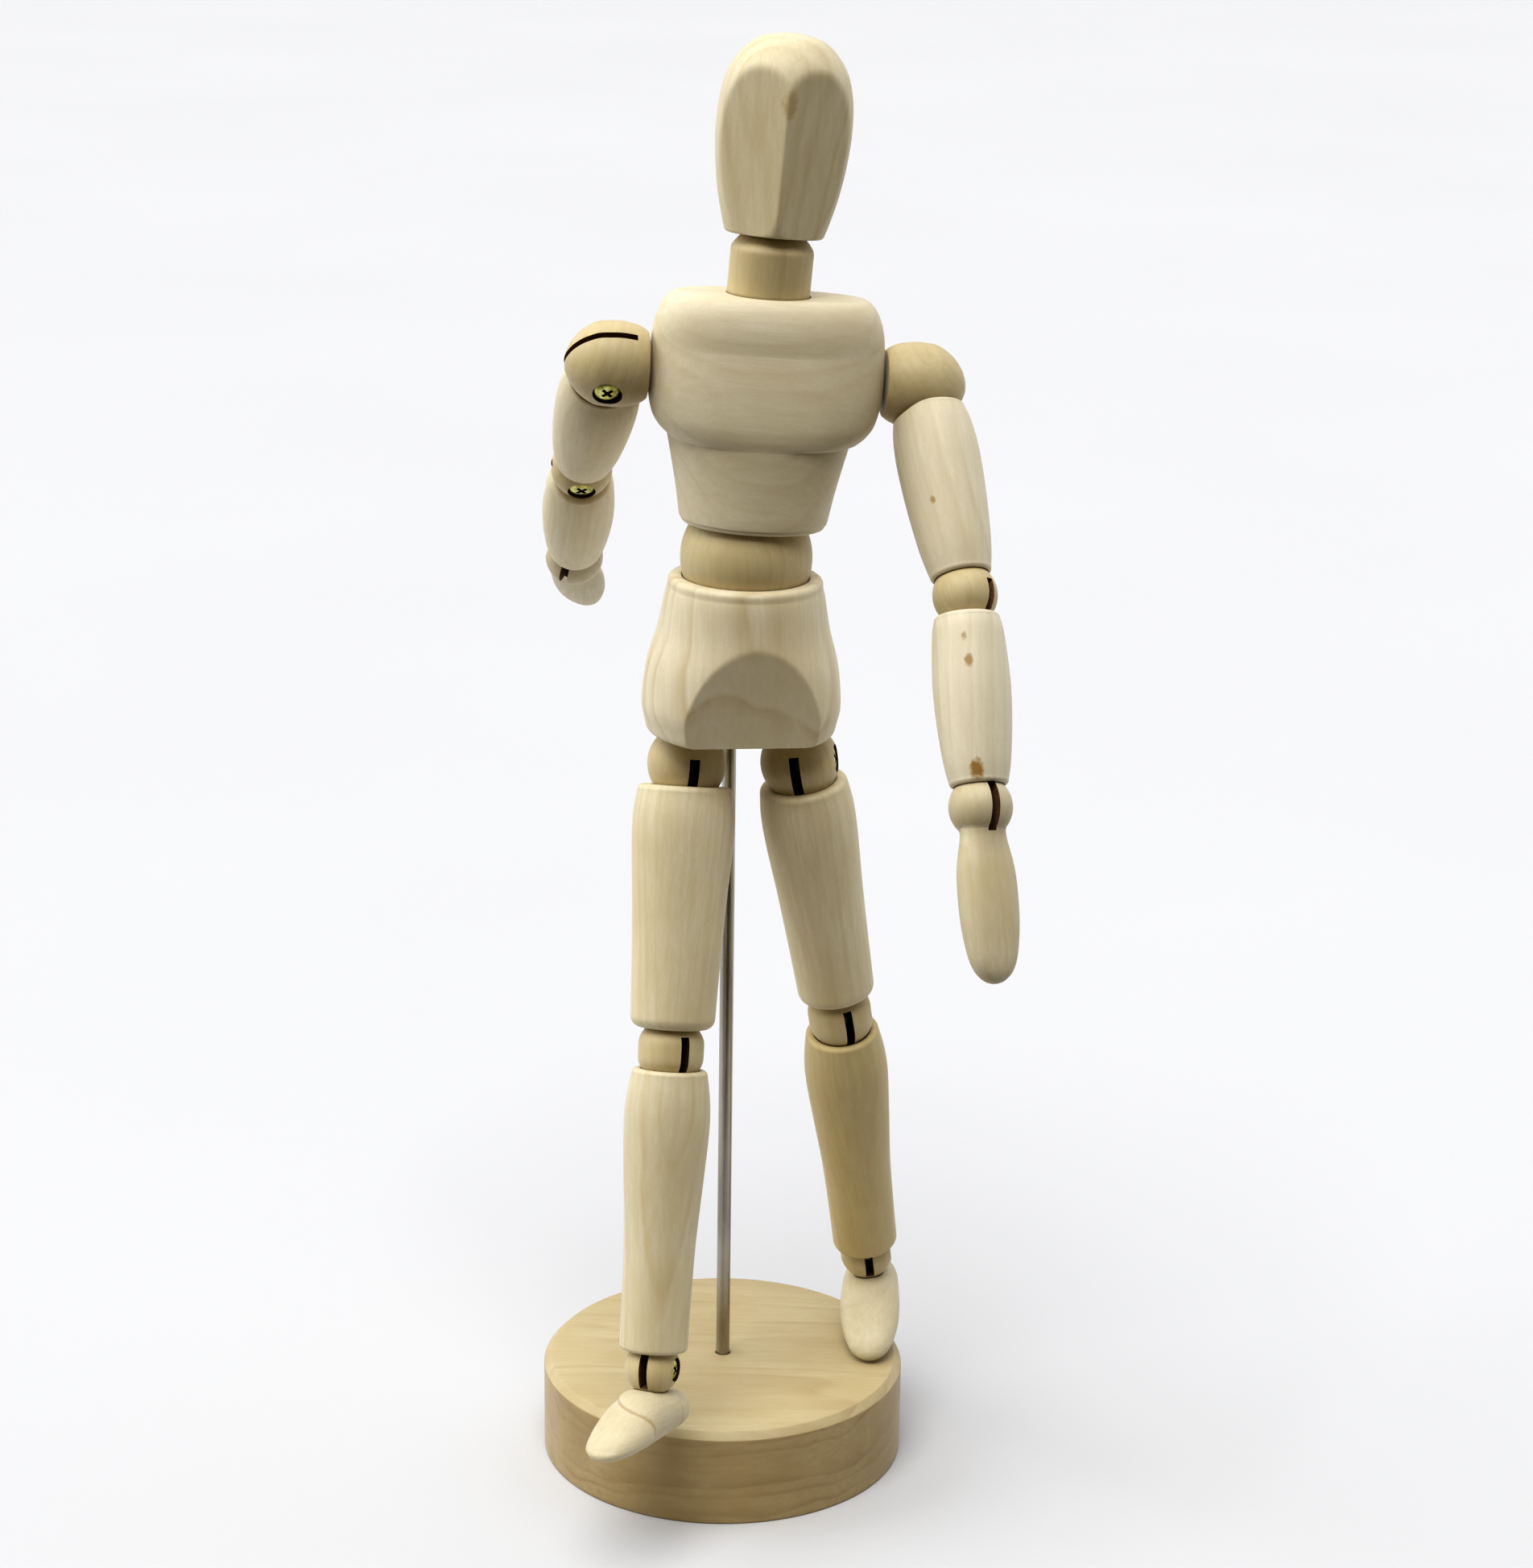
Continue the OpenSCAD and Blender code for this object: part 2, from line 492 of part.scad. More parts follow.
// Sections of the foot from the heel (+Y) to the toe (-Y): half width, half height, height of centre
foot_rings = [for (p = spline([[2.4, 1.8, 9.2, -10], [4.9, 3.8, 7.5, -10.1], [6.1, 4.7, 3.6, -9.8],
    [6.5, 5.2, -2, -9.5], [6.7, 5.1, -7, -9.6], [6.4, 4.2, -12, -10.5], [5.5, 3.2, -16.5, -11.4],
    [4.2, 2.3, -20, -12.1], [1.9, 1.2, -22, -12.7]], 2))
    [for (q = ring(p[0], p[1], [0, 0, 0], 2.3, 24)) [q.x, p[2], p[3] + q.y]]];
module foot(s) color(wood) multmatrix(foot_at(s)) difference() {
    loft(foot_rings);
    ball(ankle_r + socket_gap);
    rod(foot_peg_r + running_gap, -ankle_r - 5.3, 0);
}

base();
stand_rod();
pelvis();
waist_stud();
waist_spring();
waist_ball();
torso();
neck_stud();
neck_spring();
neck_ball();
head();
shoulder_ball(right);  // shoulder_ball_r
shoulder_ball(left);  // shoulder_ball_l
shoulder_screw(right);  // shoulder_screw_r
shoulder_screw(left);  // shoulder_screw_l
upper_arm(right);  // upper_arm_r
upper_arm(left);  // upper_arm_l
upper_arm_tongue(right);  // upper_arm_tongue_r
upper_arm_tongue(left);  // upper_arm_tongue_l
elbow_ball(right);  // elbow_ball_r
elbow_ball(left);  // elbow_ball_l
elbow_screw(right);  // elbow_screw_r
elbow_screw(left);  // elbow_screw_l
forearm(right);  // forearm_r
forearm(left);  // forearm_l
forearm_tongue(right);  // forearm_tongue_r
forearm_tongue(left);  // forearm_tongue_l
wrist_tongue(right);  // wrist_tongue_r
wrist_tongue(left);  // wrist_tongue_l
hand(right);  // hand_r
hand(left);  // hand_l
wrist_screw(right);  // wrist_screw_r
wrist_screw(left);  // wrist_screw_l
hip_stud(right);  // hip_stud_r
hip_stud(left);  // hip_stud_l
hip_ball(right);  // hip_ball_r
hip_ball(left);  // hip_ball_l
hip_screw(right);  // hip_screw_r
hip_screw(left);  // hip_screw_l
thigh(right);  // thigh_r
thigh(left);  // thigh_l
thigh_tongue(right);  // thigh_tongue_r
thigh_tongue(left);  // thigh_tongue_l
knee_ball(right);  // knee_ball_r
knee_ball(left);  // knee_ball_l
knee_screw(right);  // knee_screw_r
knee_screw(left);  // knee_screw_l
calf(right);  // calf_r
calf(left);  // calf_l
calf_tongue(right);  // calf_tongue_r
calf_tongue(left);  // calf_tongue_l
ankle_tongue(right);  // ankle_tongue_r
ankle_tongue(left);  // ankle_tongue_l
ankle_ball(right);  // ankle_ball_r
ankle_ball(left);  // ankle_ball_l
ankle_screw(right);  // ankle_screw_r
ankle_screw(left);  // ankle_screw_l
foot(right);  // foot_r
foot(left);  // foot_l
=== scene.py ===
import json
import math

import bpy
import numpy as np
from mathutils import Matrix, Vector


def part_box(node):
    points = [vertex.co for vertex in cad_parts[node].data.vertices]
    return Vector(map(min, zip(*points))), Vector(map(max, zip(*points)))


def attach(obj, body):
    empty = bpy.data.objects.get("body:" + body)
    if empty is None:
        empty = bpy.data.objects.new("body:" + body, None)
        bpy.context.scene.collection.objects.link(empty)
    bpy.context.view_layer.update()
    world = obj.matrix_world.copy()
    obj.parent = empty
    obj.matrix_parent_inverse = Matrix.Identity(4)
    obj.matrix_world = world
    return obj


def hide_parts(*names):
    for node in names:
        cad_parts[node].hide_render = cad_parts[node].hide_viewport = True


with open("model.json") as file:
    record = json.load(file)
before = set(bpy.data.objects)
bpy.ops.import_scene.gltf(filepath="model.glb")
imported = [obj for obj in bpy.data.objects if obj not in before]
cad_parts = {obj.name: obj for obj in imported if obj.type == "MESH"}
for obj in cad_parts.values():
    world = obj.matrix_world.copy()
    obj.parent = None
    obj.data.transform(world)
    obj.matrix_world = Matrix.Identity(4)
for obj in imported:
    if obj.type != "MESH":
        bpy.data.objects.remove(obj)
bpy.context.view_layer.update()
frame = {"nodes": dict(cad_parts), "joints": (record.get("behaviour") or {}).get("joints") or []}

# Jointed wooden artist mannequin. Every piece is built in millimetres in the frame of its own
# body, read from the joints, and then placed in metres.
MM = 0.001
SIDES = {"r": -1, "l": 1}
JOINTS = {j["name"]: j for j in frame["joints"]}


# ---------------------------------------------------------------- frames of the bodies
def place(name):
    return Vector(JOINTS[name]["pos_m"])


def axis(name):
    return Vector(JOINTS[name]["axis"]).normalized()


def rest_angle(name):
    """How far the joint stands from the middle of its range, where it is straight."""
    low, high = JOINTS[name]["range_deg"]
    return -math.radians(low + high) / 2


def axes(origin, x, y):
    z = x.cross(y).normalized()
    m = Matrix((x.normalized(), z.cross(x).normalized(), z)).transposed().to_4x4()
    m.translation = origin
    return m @ Matrix.Scale(MM, 4)


def along_z(origin, x, z):
    return axes(origin, x, z.cross(x))


def body_frames():
    f = {}
    hips = place("hip_turn_r"), place("hip_turn_l")
    f["pelvis"] = along_z((hips[0] + hips[1]) / 2, hips[1] - hips[0], axis("waist_turn"))
    f["waist_ball"] = axes(place("waist_bend"), axis("waist_bend"), axis("waist_lean"))
    f["torso"] = along_z(place("waist_bend"), axis("waist_bend"), axis("neck_turn"))
    f["neck_ball"] = axes(place("neck_nod"), axis("neck_nod"), axis("neck_lean"))
    f["head"] = f["neck_ball"] @ Matrix.Rotation(rest_angle("neck_nod"), 4, "X")
    for t, s in SIDES.items():
        f["shoulder_" + t] = axes(
            place("shoulder_swing_" + t), axis("shoulder_swing_" + t), -s * axis("arm_raise_" + t))
        down = axis("elbow_turn_" + t)
        f["upper_arm_" + t] = along_z(place("arm_raise_" + t), -s * axis("arm_raise_" + t).cross(down), down)
        f["hip_" + t] = axes(place("hip_swing_" + t), axis("hip_swing_" + t), -s * axis("hip_spread_" + t))
        for upper, turn, bend in (
            ("thigh", "knee_turn", "hip_swing"), ("calf", "ankle_turn", "knee_bend"),
            ("forearm", "wrist_turn", "elbow_bend")):
            f[f"{upper}_{t}"] = along_z(place(f"{bend}_{t}"), axis(f"{bend}_{t}"), axis(f"{turn}_{t}"))
        for ball, turn, bend in (("elbow", "elbow_turn", "elbow_bend"), ("knee", "knee_turn", "knee_bend"),
                                 ("ankle", "foot_turn", "ankle_bend")):
            f[f"{ball}_{t}"] = along_z(place(f"{bend}_{t}"), axis(f"{bend}_{t}"), axis(f"{turn}_{t}"))
        f["hand_" + t] = along_z(place("wrist_bend_" + t), axis("wrist_bend_" + t), axis("wrist_turn_" + t)) \
            @ Matrix.Rotation(rest_angle("wrist_bend_" + t), 4, "X")
        f["foot_" + t] = f["ankle_" + t] @ Matrix.Rotation(rest_angle("foot_turn_" + t), 4, "Z")
    return f


FRAMES = body_frames()


def drop(name_a, name_b):
    """Distance between two joints in millimetres."""
    return (place(name_a) - place(name_b)).length / MM


# ---------------------------------------------------------------- outlines and meshes
def spline(points, steps=6):
    """A smooth curve through the points."""
    p = [np.array(q, float) for q in points]
    out = []
    for i in range(len(p) - 1):
        a, b, c, d = p[max(i - 1, 0)], p[i], p[i + 1], p[min(i + 2, len(p) - 1)]
        for k in range(steps):
            t = k / steps
            out.append((2 * b + (c - a) * t + (2 * a - 5 * b + 4 * c - d) * t * t
                        + (3 * b - a - 3 * c + d) * t ** 3) / 2)
    return out + [p[-1]]


def fillet(before, corner, after, radius, steps=6):
    """Points of an arc that rounds the corner between two straight runs."""
    c = np.array(corner, float)
    u, v = np.array(before, float) - c, np.array(after, float) - c
    u, v = u / np.linalg.norm(u), v / np.linalg.norm(v)
    half = math.acos(max(-1, min(1, float(u @ v)))) / 2
    reach = radius / math.tan(half)
    mid = (u + v) / np.linalg.norm(u + v)
    centre = c + mid * radius / math.sin(half)
    a, b = c + u * reach - centre, c + v * reach - centre
    sweep = math.pi - 2 * half
    return [centre + (a * math.sin((1 - k / steps) * sweep) + b * math.sin(k / steps * sweep)) / math.sin(sweep)
            for k in range(steps + 1)]


def arc(radius, centre_z, from_deg, to_deg, steps):
    """Points (r, z) on a sphere about (0, centre_z); 90 degrees is its top."""
    return [np.array((radius * math.cos(math.radians(a)), centre_z + radius * math.sin(math.radians(a))))
            for a in np.linspace(from_deg, to_deg, steps + 1)]


def dense(outline, gap):
    """The outline with points added so that none are further apart than the gap."""
    out = [outline[0]]
    for p in outline[1:]:
        q = out[-1]
        n = max(1, int(np.linalg.norm(np.array(p) - q) / gap))
        out += [q + (np.array(p) - q) * k / n for k in range(1, n + 1)]
    return out


def new_mesh(name, verts, faces):
    me = bpy.data.meshes.new(name)
    me.from_pydata([tuple(map(float, v)) for v in verts], [], [tuple(int(i) for i in f) for f in faces])
    me.update()
    return me


def stack(rings):
    """Vertices and faces of a skin over rings of equal count, capped with a point at each end."""
    n = len(rings[0])
    verts = [v for r in rings for v in r]
    faces = [(j * n + i, (j + 1) * n + i, (j + 1) * n + (i + 1) % n, j * n + (i + 1) % n)
             for j in range(len(rings) - 1) for i in range(n)]
    top, bottom = len(verts), len(verts) + 1
    verts += [np.mean(rings[0], axis=0), np.mean(rings[-1], axis=0)]
    last = (len(rings) - 1) * n
    faces += [(top, i, (i + 1) % n) for i in range(n)]
    faces += [(bottom, last + (i + 1) % n, last + i) for i in range(n)]
    return verts, faces


def lathe(outline, count=128):
    """Closed solid of revolution about Z; the outline runs from the axis at the top to the axis below."""
    turn = [(math.cos(2 * math.pi * i / count), math.sin(2 * math.pi * i / count)) for i in range(count)]
    rings = [[(r * c, r * s, z) for c, s in turn] for r, z in outline if r > 1e-4]
    verts, faces = stack(rings)
    verts[-2], verts[-1] = (0, 0, outline[0][1]), (0, 0, outline[-1][1])
    return verts, faces


def superellipse(a, b, z, power, count, shift=(0, 0)):
    out = []
    for i in range(count):
        t = 2 * math.pi * i / count
        x, y = math.cos(t), math.sin(t)
        out.append((shift[0] + a * math.copysign(abs(x) ** (2 / power), x),
                    shift[1] + b * math.copysign(abs(y) ** (2 / power), y), z))
    return out


def soft_max(a, b, k):
    """The larger of two heights, with the crease between them rounded over about k."""
    h = np.clip(0.5 + 0.5 * (a - b) / k, 0, 1)
    return b + (a - b) * h + k * h * (1 - h)


def barrelled(outline, radius):
    """A ball's outline with its sides turned straight, blending softly into the round."""
    return [np.array((-soft_max(-p[0], -radius, 0.3), p[1])) for p in outline]


def piece(name, body, mesh_data, local, materials, replaces, grain=None, sharp=35):
    """A finished object: placed, shaded, riding on its body and standing for its CAD nodes."""
    me = mesh_data if isinstance(mesh_data, bpy.types.Mesh) else new_mesh(name, *mesh_data)
    o = bpy.data.objects.new(name, me)
    bpy.context.scene.collection.objects.link(o)
    if not len(me.materials):
        for m in materials:
            me.materials.append(m)
    co = np.empty(len(me.vertices) * 3, np.float32)
    me.vertices.foreach_get("co", co)
    co = co.reshape(-1, 3)
    turn, shift = grain or (Matrix.Identity(3), (40, 12, 0))
    laid = co @ np.array(turn.to_3x3()).T + np.array(shift, np.float32)
    for layer, values in (("grain", laid), ("place", co)):
        at = me.attributes.new(layer, "FLOAT_VECTOR", "POINT")
        at.data.foreach_set("vector", np.ascontiguousarray(values, np.float32).ravel())
    me.transform(local)
    me.shade_smooth()
    me.set_sharp_from_angle(angle=math.radians(sharp))
    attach(o, body)
    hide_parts(*replaces)


def cut(mesh_data, cutters, materials):
    """The solid less the cutters. A cutter is (verts, faces, index of the material of its walls)."""
    me = new_mesh("solid", *mesh_data)
    for m in materials:
        me.materials.append(m)
    body = bpy.data.objects.new("solid", me)
    bpy.context.scene.collection.objects.link(body)
    tools = []
    for verts, faces, index in cutters:
        tool_mesh = new_mesh("tool", verts, faces)
        tool_mesh.materials.append(materials[index])
        tool = bpy.data.objects.new("tool", tool_mesh)
        bpy.context.scene.collection.objects.link(tool)
        mod = body.modifiers.new("cut", "BOOLEAN")
        mod.operation, mod.solver, mod.object, mod.material_mode = "DIFFERENCE", "EXACT", tool, "TRANSFER"
        tools.append(tool)
    bpy.context.view_layer.update()
    done = bpy.data.meshes.new_from_object(body.evaluated_get(bpy.context.evaluated_depsgraph_get()))
    for o in tools + [body]:
        bpy.data.objects.remove(o)
    return done


def box(x, y, z):
    """Box from (low, high) pairs."""
    v = [(a, b, c) for a in x for b in y for c in z]
    return v, [(0, 1, 3, 2), (4, 6, 7, 5), (0, 4, 5, 1), (2, 3, 7, 6), (0, 2, 6, 4), (1, 5, 7, 3)]


def turned_to(mesh_data, matrix):
    verts, faces = mesh_data
    return [tuple(matrix @ Vector(v)) for v in verts], faces


LIE_X = Matrix.Rotation(math.radians(90), 4, "Y")      # Z to +X


def bar(radius, low, high):
    """Plain round cutter along Z."""
    return lathe([(0, high), (radius, high), (radius, low), (0, low)], 64)


# ---------------------------------------------------------------- materials
def shader(name, roughness, specular=0.5, metallic=0.0):
    m = bpy.data.materials.new(name)
    m.use_nodes = True
    nt = m.node_tree
    bsdf = nt.nodes["Principled BSDF"]
    bsdf.inputs["Roughness"].default_value = roughness
    bsdf.inputs["Specular IOR Level"].default_value = specular
    bsdf.inputs["Metallic"].default_value = metallic
    return m, nt, bsdf


def add(nt, kind, **values):
    """New node. The values name its inputs (in0, in1 by number) or its properties; a socket makes a link."""
    n = nt.nodes.new(kind)
    for key, v in values.items():
        key = key.replace("_", " ") if key.replace("_", " ") in n.inputs else key
        target = n.inputs[int(key[2:])] if key.startswith("in") and key[2:].isdigit() else (
            n.inputs[key] if key in n.inputs else None)
        if target is None:
            setattr(n, key, v)
        elif isinstance(v, bpy.types.NodeSocket):
            nt.links.new(v, target)
        else:
            target.default_value = v
    return n


def math_node(nt, operation, a, b=0.0, clamp=False):
    return add(nt, "ShaderNodeMath", operation=operation, use_clamp=clamp, in0=a, in1=b).outputs[0]


def scaled(nt, vector, by):
    return add(nt, "ShaderNodeVectorMath", operation="MULTIPLY", in0=vector, in1=by).outputs[0]


def noise(nt, vector, scale, detail=3.0, rough=0.5):
    return add(nt, "ShaderNodeTexNoise", Vector=vector, Scale=scale, Detail=detail, Roughness=rough).outputs["Fac"]


def ramp(nt, value, stops):
    """Colour ramp from (position, colour) stops; a colour may be one grey number."""
    n = add(nt, "ShaderNodeValToRGB", Fac=value)
    els = n.color_ramp.elements
    for i, (at, c) in enumerate(stops):
        e = els[i] if i < 2 else els.new(at)
        e.position, e.color = at, (*c, 1) if isinstance(c, tuple) else (c, c, c, 1)
    return n.outputs["Color"]


def mix(nt, factor, a, b):
    n = add(nt, "ShaderNodeMix", data_type="RGBA")
    for sock, v in ((n.inputs[0], factor), (n.inputs[6], a), (n.inputs[7], b)):
        if isinstance(v, bpy.types.NodeSocket):
            nt.links.new(v, sock)
        else:
            sock.default_value = v if not isinstance(v, tuple) or len(v) == 4 else (*v, 1)
    return n.outputs[2]


def timber(name, pale, tan, ring, gap=3.2, ring_depth=0.22, blotch=0.5, roughness=0.5, knots=(), seams=(),
           halo=None, warp=2.0):
    """Pale turned wood: soft growth rings about the grain's Z, streaks and fibres along it, cloudy patches,
    small knots as (centre, radius, strength), round lines of painted shade as (centre, radius) seen along Z
    for the crease of a carved step, and a halo of darker wood about an oval (centre, half sizes)."""
    m, nt, bsdf = shader(name, roughness, 0.6)
    grain = add(nt, "ShaderNodeAttribute", attribute_name="grain").outputs["Vector"]
    spot = add(nt, "ShaderNodeAttribute", attribute_name="place").outputs["Vector"]
    drift = add(nt, "ShaderNodeTexNoise", Vector=scaled(nt, grain, (1, 1, 0.25)), Scale=0.05, Detail=2.0)
    shift = add(nt, "ShaderNodeVectorMath", operation="MULTIPLY_ADD", in0=drift.outputs["Color"],
                in1=(warp * 4, warp * 4, 0), in2=grain).outputs[0]
    far = add(nt, "ShaderNodeVectorMath", operation="LENGTH", in0=scaled(nt, shift, (1, 1, 0))).outputs["Value"]
    slow = noise(nt, add(nt, "ShaderNodeCombineXYZ", X=far).outputs[0], 0.11, 1.0)
    uneven = math_node(nt, "MULTIPLY", slow, gap * 3)
    turns = math_node(nt, "DIVIDE", math_node(nt, "ADD", far, uneven), gap)
    line = ramp(nt, math_node(nt, "FRACT", turns), [(0.0, 0.0), (0.5, 0.2), (0.84, 1.0), (0.93, 0.3), (1.0, 0.0)])
    fade = ramp(nt, noise(nt, scaled(nt, grain, (0.16, 0.16, 0.04)), 1.0, 2.0), [(0.35, 0.25), (0.65, 1.0)])
    rings = math_node(nt, "MULTIPLY", math_node(nt, "MULTIPLY", line, fade), ring_depth)
    streaks = noise(nt, scaled(nt, grain, (0.9, 0.9, 0.03)), 1.0, 3.0, 0.6)
    fibres = noise(nt, scaled(nt, grain, (5, 5, 0.22)), 1.0, 4.0, 0.6)
    fuzz = noise(nt, scaled(nt, grain, (14, 14, 1.6)), 1.0, 2.0, 0.6)
    patches = noise(nt, scaled(nt, grain, (0.09, 0.09, 0.045)), 1.0, 4.0, 0.6)
    colour = mix(nt, ramp(nt, patches, [(0.38, 0.0), (0.68, blotch)]), pale, tan)
    colour = mix(nt, ramp(nt, streaks, [(0.35, 0.4), (0.6, 0.0)]), colour, tan)
    colour = mix(nt, rings, colour, ring)
    colour = mix(nt, ramp(nt, fibres, [(0.3, 0.4), (0.6, 0.0)]), colour, tan)
    colour = mix(nt, ramp(nt, fuzz, [(0.25, 0.2), (0.5, 0.0)]), colour, ring)
    for centre, radius, strength in knots:
        off = add(nt, "ShaderNodeVectorMath", operation="SUBTRACT", in0=spot, in1=centre).outputs[0]
        oval = scaled(nt, off, (1.25, 1.25, 0.8))
        reach = add(nt, "ShaderNodeVectorMath", operation="LENGTH", in0=oval).outputs["Value"]
        rough_edge = math_node(nt, "MULTIPLY", noise(nt, spot, 0.9, 3.0), radius)
        near = math_node(nt, "SUBTRACT", math_node(nt, "ADD", reach, rough_edge), radius * 0.5)
        dark = ramp(nt, math_node(nt, "DIVIDE", near, radius), [(0.5, strength), (1.05, 0.0)])
        colour = mix(nt, dark, colour, KNOT_AND_SHADE_BROWN)
    # painted shade: a thin dark line along the crease of a round step
    for centre, radius in seams:
        reach = add(nt, "ShaderNodeVectorMath", operation="DISTANCE", in0=scaled(nt, spot, (1, 1, 0)),
                    in1=centre).outputs["Value"]
        off = math_node(nt, "ABSOLUTE", math_node(nt, "SUBTRACT", reach, radius))
        colour = mix(nt, ramp(nt, off, [(0.04, 0.5), (0.25, 0.0)]), colour, KNOT_AND_SHADE_BROWN)
    if halo:
        off = add(nt, "ShaderNodeVectorMath", operation="SUBTRACT", in0=spot, in1=halo[0]).outputs[0]
        oval = scaled(nt, off, tuple(1 / h for h in halo[1]))
        reach = add(nt, "ShaderNodeVectorMath", operation="LENGTH", in0=oval).outputs["Value"]
        cloudy = math_node(nt, "ADD", reach, math_node(nt, "MULTIPLY", patches, 0.3))
        dark = ramp(nt, cloudy, [(1.0, 0.0), (1.12, 0.55), (1.22, 0.35), (1.5, 0.0)])
        colour = mix(nt, dark, colour, (0.44, 0.33, 0.13))
    nt.links.new(colour, bsdf.inputs["Base Color"])
    nt.links.new(ramp(nt, fibres, [(0.3, roughness + 0.14), (0.7, roughness - 0.04)]), bsdf.inputs["Roughness"])
    bsdf.inputs["Sheen Weight"].default_value = 0.22
    bsdf.inputs["Sheen Roughness"].default_value = 0.4
    relief = math_node(nt, "ADD", math_node(nt, "MULTIPLY", fibres, 0.6), math_node(nt, "MULTIPLY", fuzz, 0.4))
    bump = add(nt, "ShaderNodeBump", Strength=0.35, Distance=0.00012, Height=relief)
    nt.links.new(bump.outputs["Normal"], bsdf.inputs["Normal"])
    return m


# the knot brown also colours the painted shade line along a step's crease
PALE, TAN, RING, KNOT_AND_SHADE_BROWN = (0.73, 0.665, 0.48), (0.61, 0.515, 0.31), (0.45, 0.325, 0.13), (0.36, 0.19, 0.03)


def limb_wood(name, tone=1.0, **kw):
    """The figure's pale wood, with a tone above 1 for whiter pieces and below 1 for darker ones."""
    pale, tan = (tuple(1 - (1 - c) / tone if tone > 1 else c * tone for c in colour) for colour in (PALE, TAN))
    return timber(name, pale, tan, RING, **kw)


def ball_wood():
    return timber("ball_wood", (0.62, 0.53, 0.32), (0.53, 0.425, 0.22), (0.39, 0.275, 0.11), gap=2.6, ring_depth=0.25)


def calf_wood():
    return timber("tan_calf_wood", (0.60, 0.50, 0.27), (0.50, 0.39, 0.18), (0.36, 0.25, 0.09), gap=3.0)


def base_wood():
    return timber("base_wood", (0.52, 0.445, 0.27), (0.44, 0.35, 0.18), (0.32, 0.215, 0.09),
                  gap=5.0, ring_depth=0.45, blotch=0.8, warp=3.0)


def shaded_base_side_wood():
    """The base's turned side, in a darker copy of the top's wood: painted shade on the sides."""
    return timber("shaded_base_side_wood", (0.43, 0.335, 0.17), (0.34, 0.245, 0.105), (0.23, 0.145, 0.05),
                  gap=5.0, ring_depth=0.5, blotch=0.8, warp=3.0)


def scorched_and_shaded_wood(name, dark, light):
    """The scorched, splintery walls of a saw cut or a drilled recess, with painted shade: their dark colour also
    stands in for the shade inside the cut.
    """
    m, nt, bsdf = shader(name, 0.8, 0.2)
    spot = add(nt, "ShaderNodeAttribute", attribute_name="place").outputs["Vector"]
    streaks = noise(nt, scaled(nt, spot, (0.8, 2.5, 6.0)), 0.8, 4.0, 0.7)
    nt.links.new(ramp(nt, streaks, [(0.3, dark), (0.7, light)]), bsdf.inputs["Base Color"])
    bump = add(nt, "ShaderNodeBump", Strength=0.6, Distance=0.0002, Height=streaks)
    nt.links.new(bump.outputs["Normal"], bsdf.inputs["Normal"])
    return m


def plated_screw(name, dark, light):
    """Yellow zinc plate, clouded between a dark and a light colour; with near-black colours it is the painted shade
    in a screw's cross recess.
    """
    m, nt, bsdf = shader(name, 0.3, 0.5, 1.0)
    spot = add(nt, "ShaderNodeAttribute", attribute_name="place").outputs["Vector"]
    cloud = noise(nt, spot, 0.7, 4.0, 0.6)
    nt.links.new(ramp(nt, cloud, [(0.3, dark), (0.7, light)]), bsdf.inputs["Base Color"])
    nt.links.new(ramp(nt, cloud, [(0.3, 0.42), (0.7, 0.22)]), bsdf.inputs["Roughness"])
    return m


def steel(name, dark, light, rough):
    """Drawn steel with fine marks along its length."""
    m, nt, bsdf = shader(name, rough, 0.5, 1.0)
    spot = add(nt, "ShaderNodeTexCoord").outputs["Object"]
    marks = noise(nt, scaled(nt, spot, (4000, 4000, 60)), 1.0, 3.0, 0.6)
    tone = noise(nt, scaled(nt, spot, (90, 90, 25)), 1.0, 3.0, 0.6)
    nt.links.new(ramp(nt, tone, [(0.3, dark), (0.7, light)]), bsdf.inputs["Base Color"])
    nt.links.new(ramp(nt, marks, [(0.3, rough + 0.1), (0.7, rough - 0.06)]), bsdf.inputs["Roughness"])
    bump = add(nt, "ShaderNodeBump", Strength=0.25, Distance=0.00003, Height=marks)
    nt.links.new(bump.outputs["Normal"], bsdf.inputs["Normal"])
    return m


def paper():
    """Plain pale seamless paper."""
    m, nt, bsdf = shader("paper", 0.85, 0.2)
    spot = add(nt, "ShaderNodeTexCoord").outputs["Object"]
    nt.links.new(ramp(nt, noise(nt, spot, 3.0, 2.0), [(0.2, (0.54, 0.54, 0.545)), (0.8, (0.555, 0.555, 0.56))]),
                 bsdf.inputs["Base Color"])
    return m


BALL = ball_wood()
# near-black and dark brown walls for holes, recesses and saw slots: partly scorch, partly painted shade
BURNT_AND_SHADED = scorched_and_shaded_wood("scorched_and_shaded_wood", (0.02, 0.011, 0.006), (0.11, 0.052, 0.022))
SAWN_AND_SHADED = scorched_and_shaded_wood("sawn_and_shaded_wood", (0.09, 0.045, 0.022), (0.30, 0.17, 0.09))
ZINC = plated_screw("yellow_zinc", (0.28, 0.27, 0.06), (0.80, 0.78, 0.34))
# near-black plate for the screws' cross recesses: painted shade
RECESS_SHADE = plated_screw("screw_recess_shade", (0.01, 0.01, 0.006), (0.06, 0.055, 0.03))
ROD_STEEL = steel("rod_steel", (0.30, 0.28, 0.24), (0.55, 0.53, 0.48), 0.28)
# darkened steel for the fittings inside slots and sockets: painted shade
SHADED_FITTING_STEEL = steel("fitting_steel", (0.16, 0.155, 0.15), (0.30, 0.29, 0.27), 0.4)


def lying(tilt_x=0.0, tilt_y=0.0, turn=0.0, shift=(40, 12, 0)):
    """How a piece lies in its log: small tilts of the grain, a turn about it, and where the pith is."""
    m = (Matrix.Rotation(math.radians(tilt_x), 3, "X") @ Matrix.Rotation(math.radians(tilt_y), 3, "Y")
         @ Matrix.Rotation(math.radians(turn), 3, "Z"))
    return m, shift


# ---------------------------------------------------------------- stand
BASE_R, BASE_H, BASE_CHAMFER, ROD_R = 40, 21.4, 1.6, 1.5


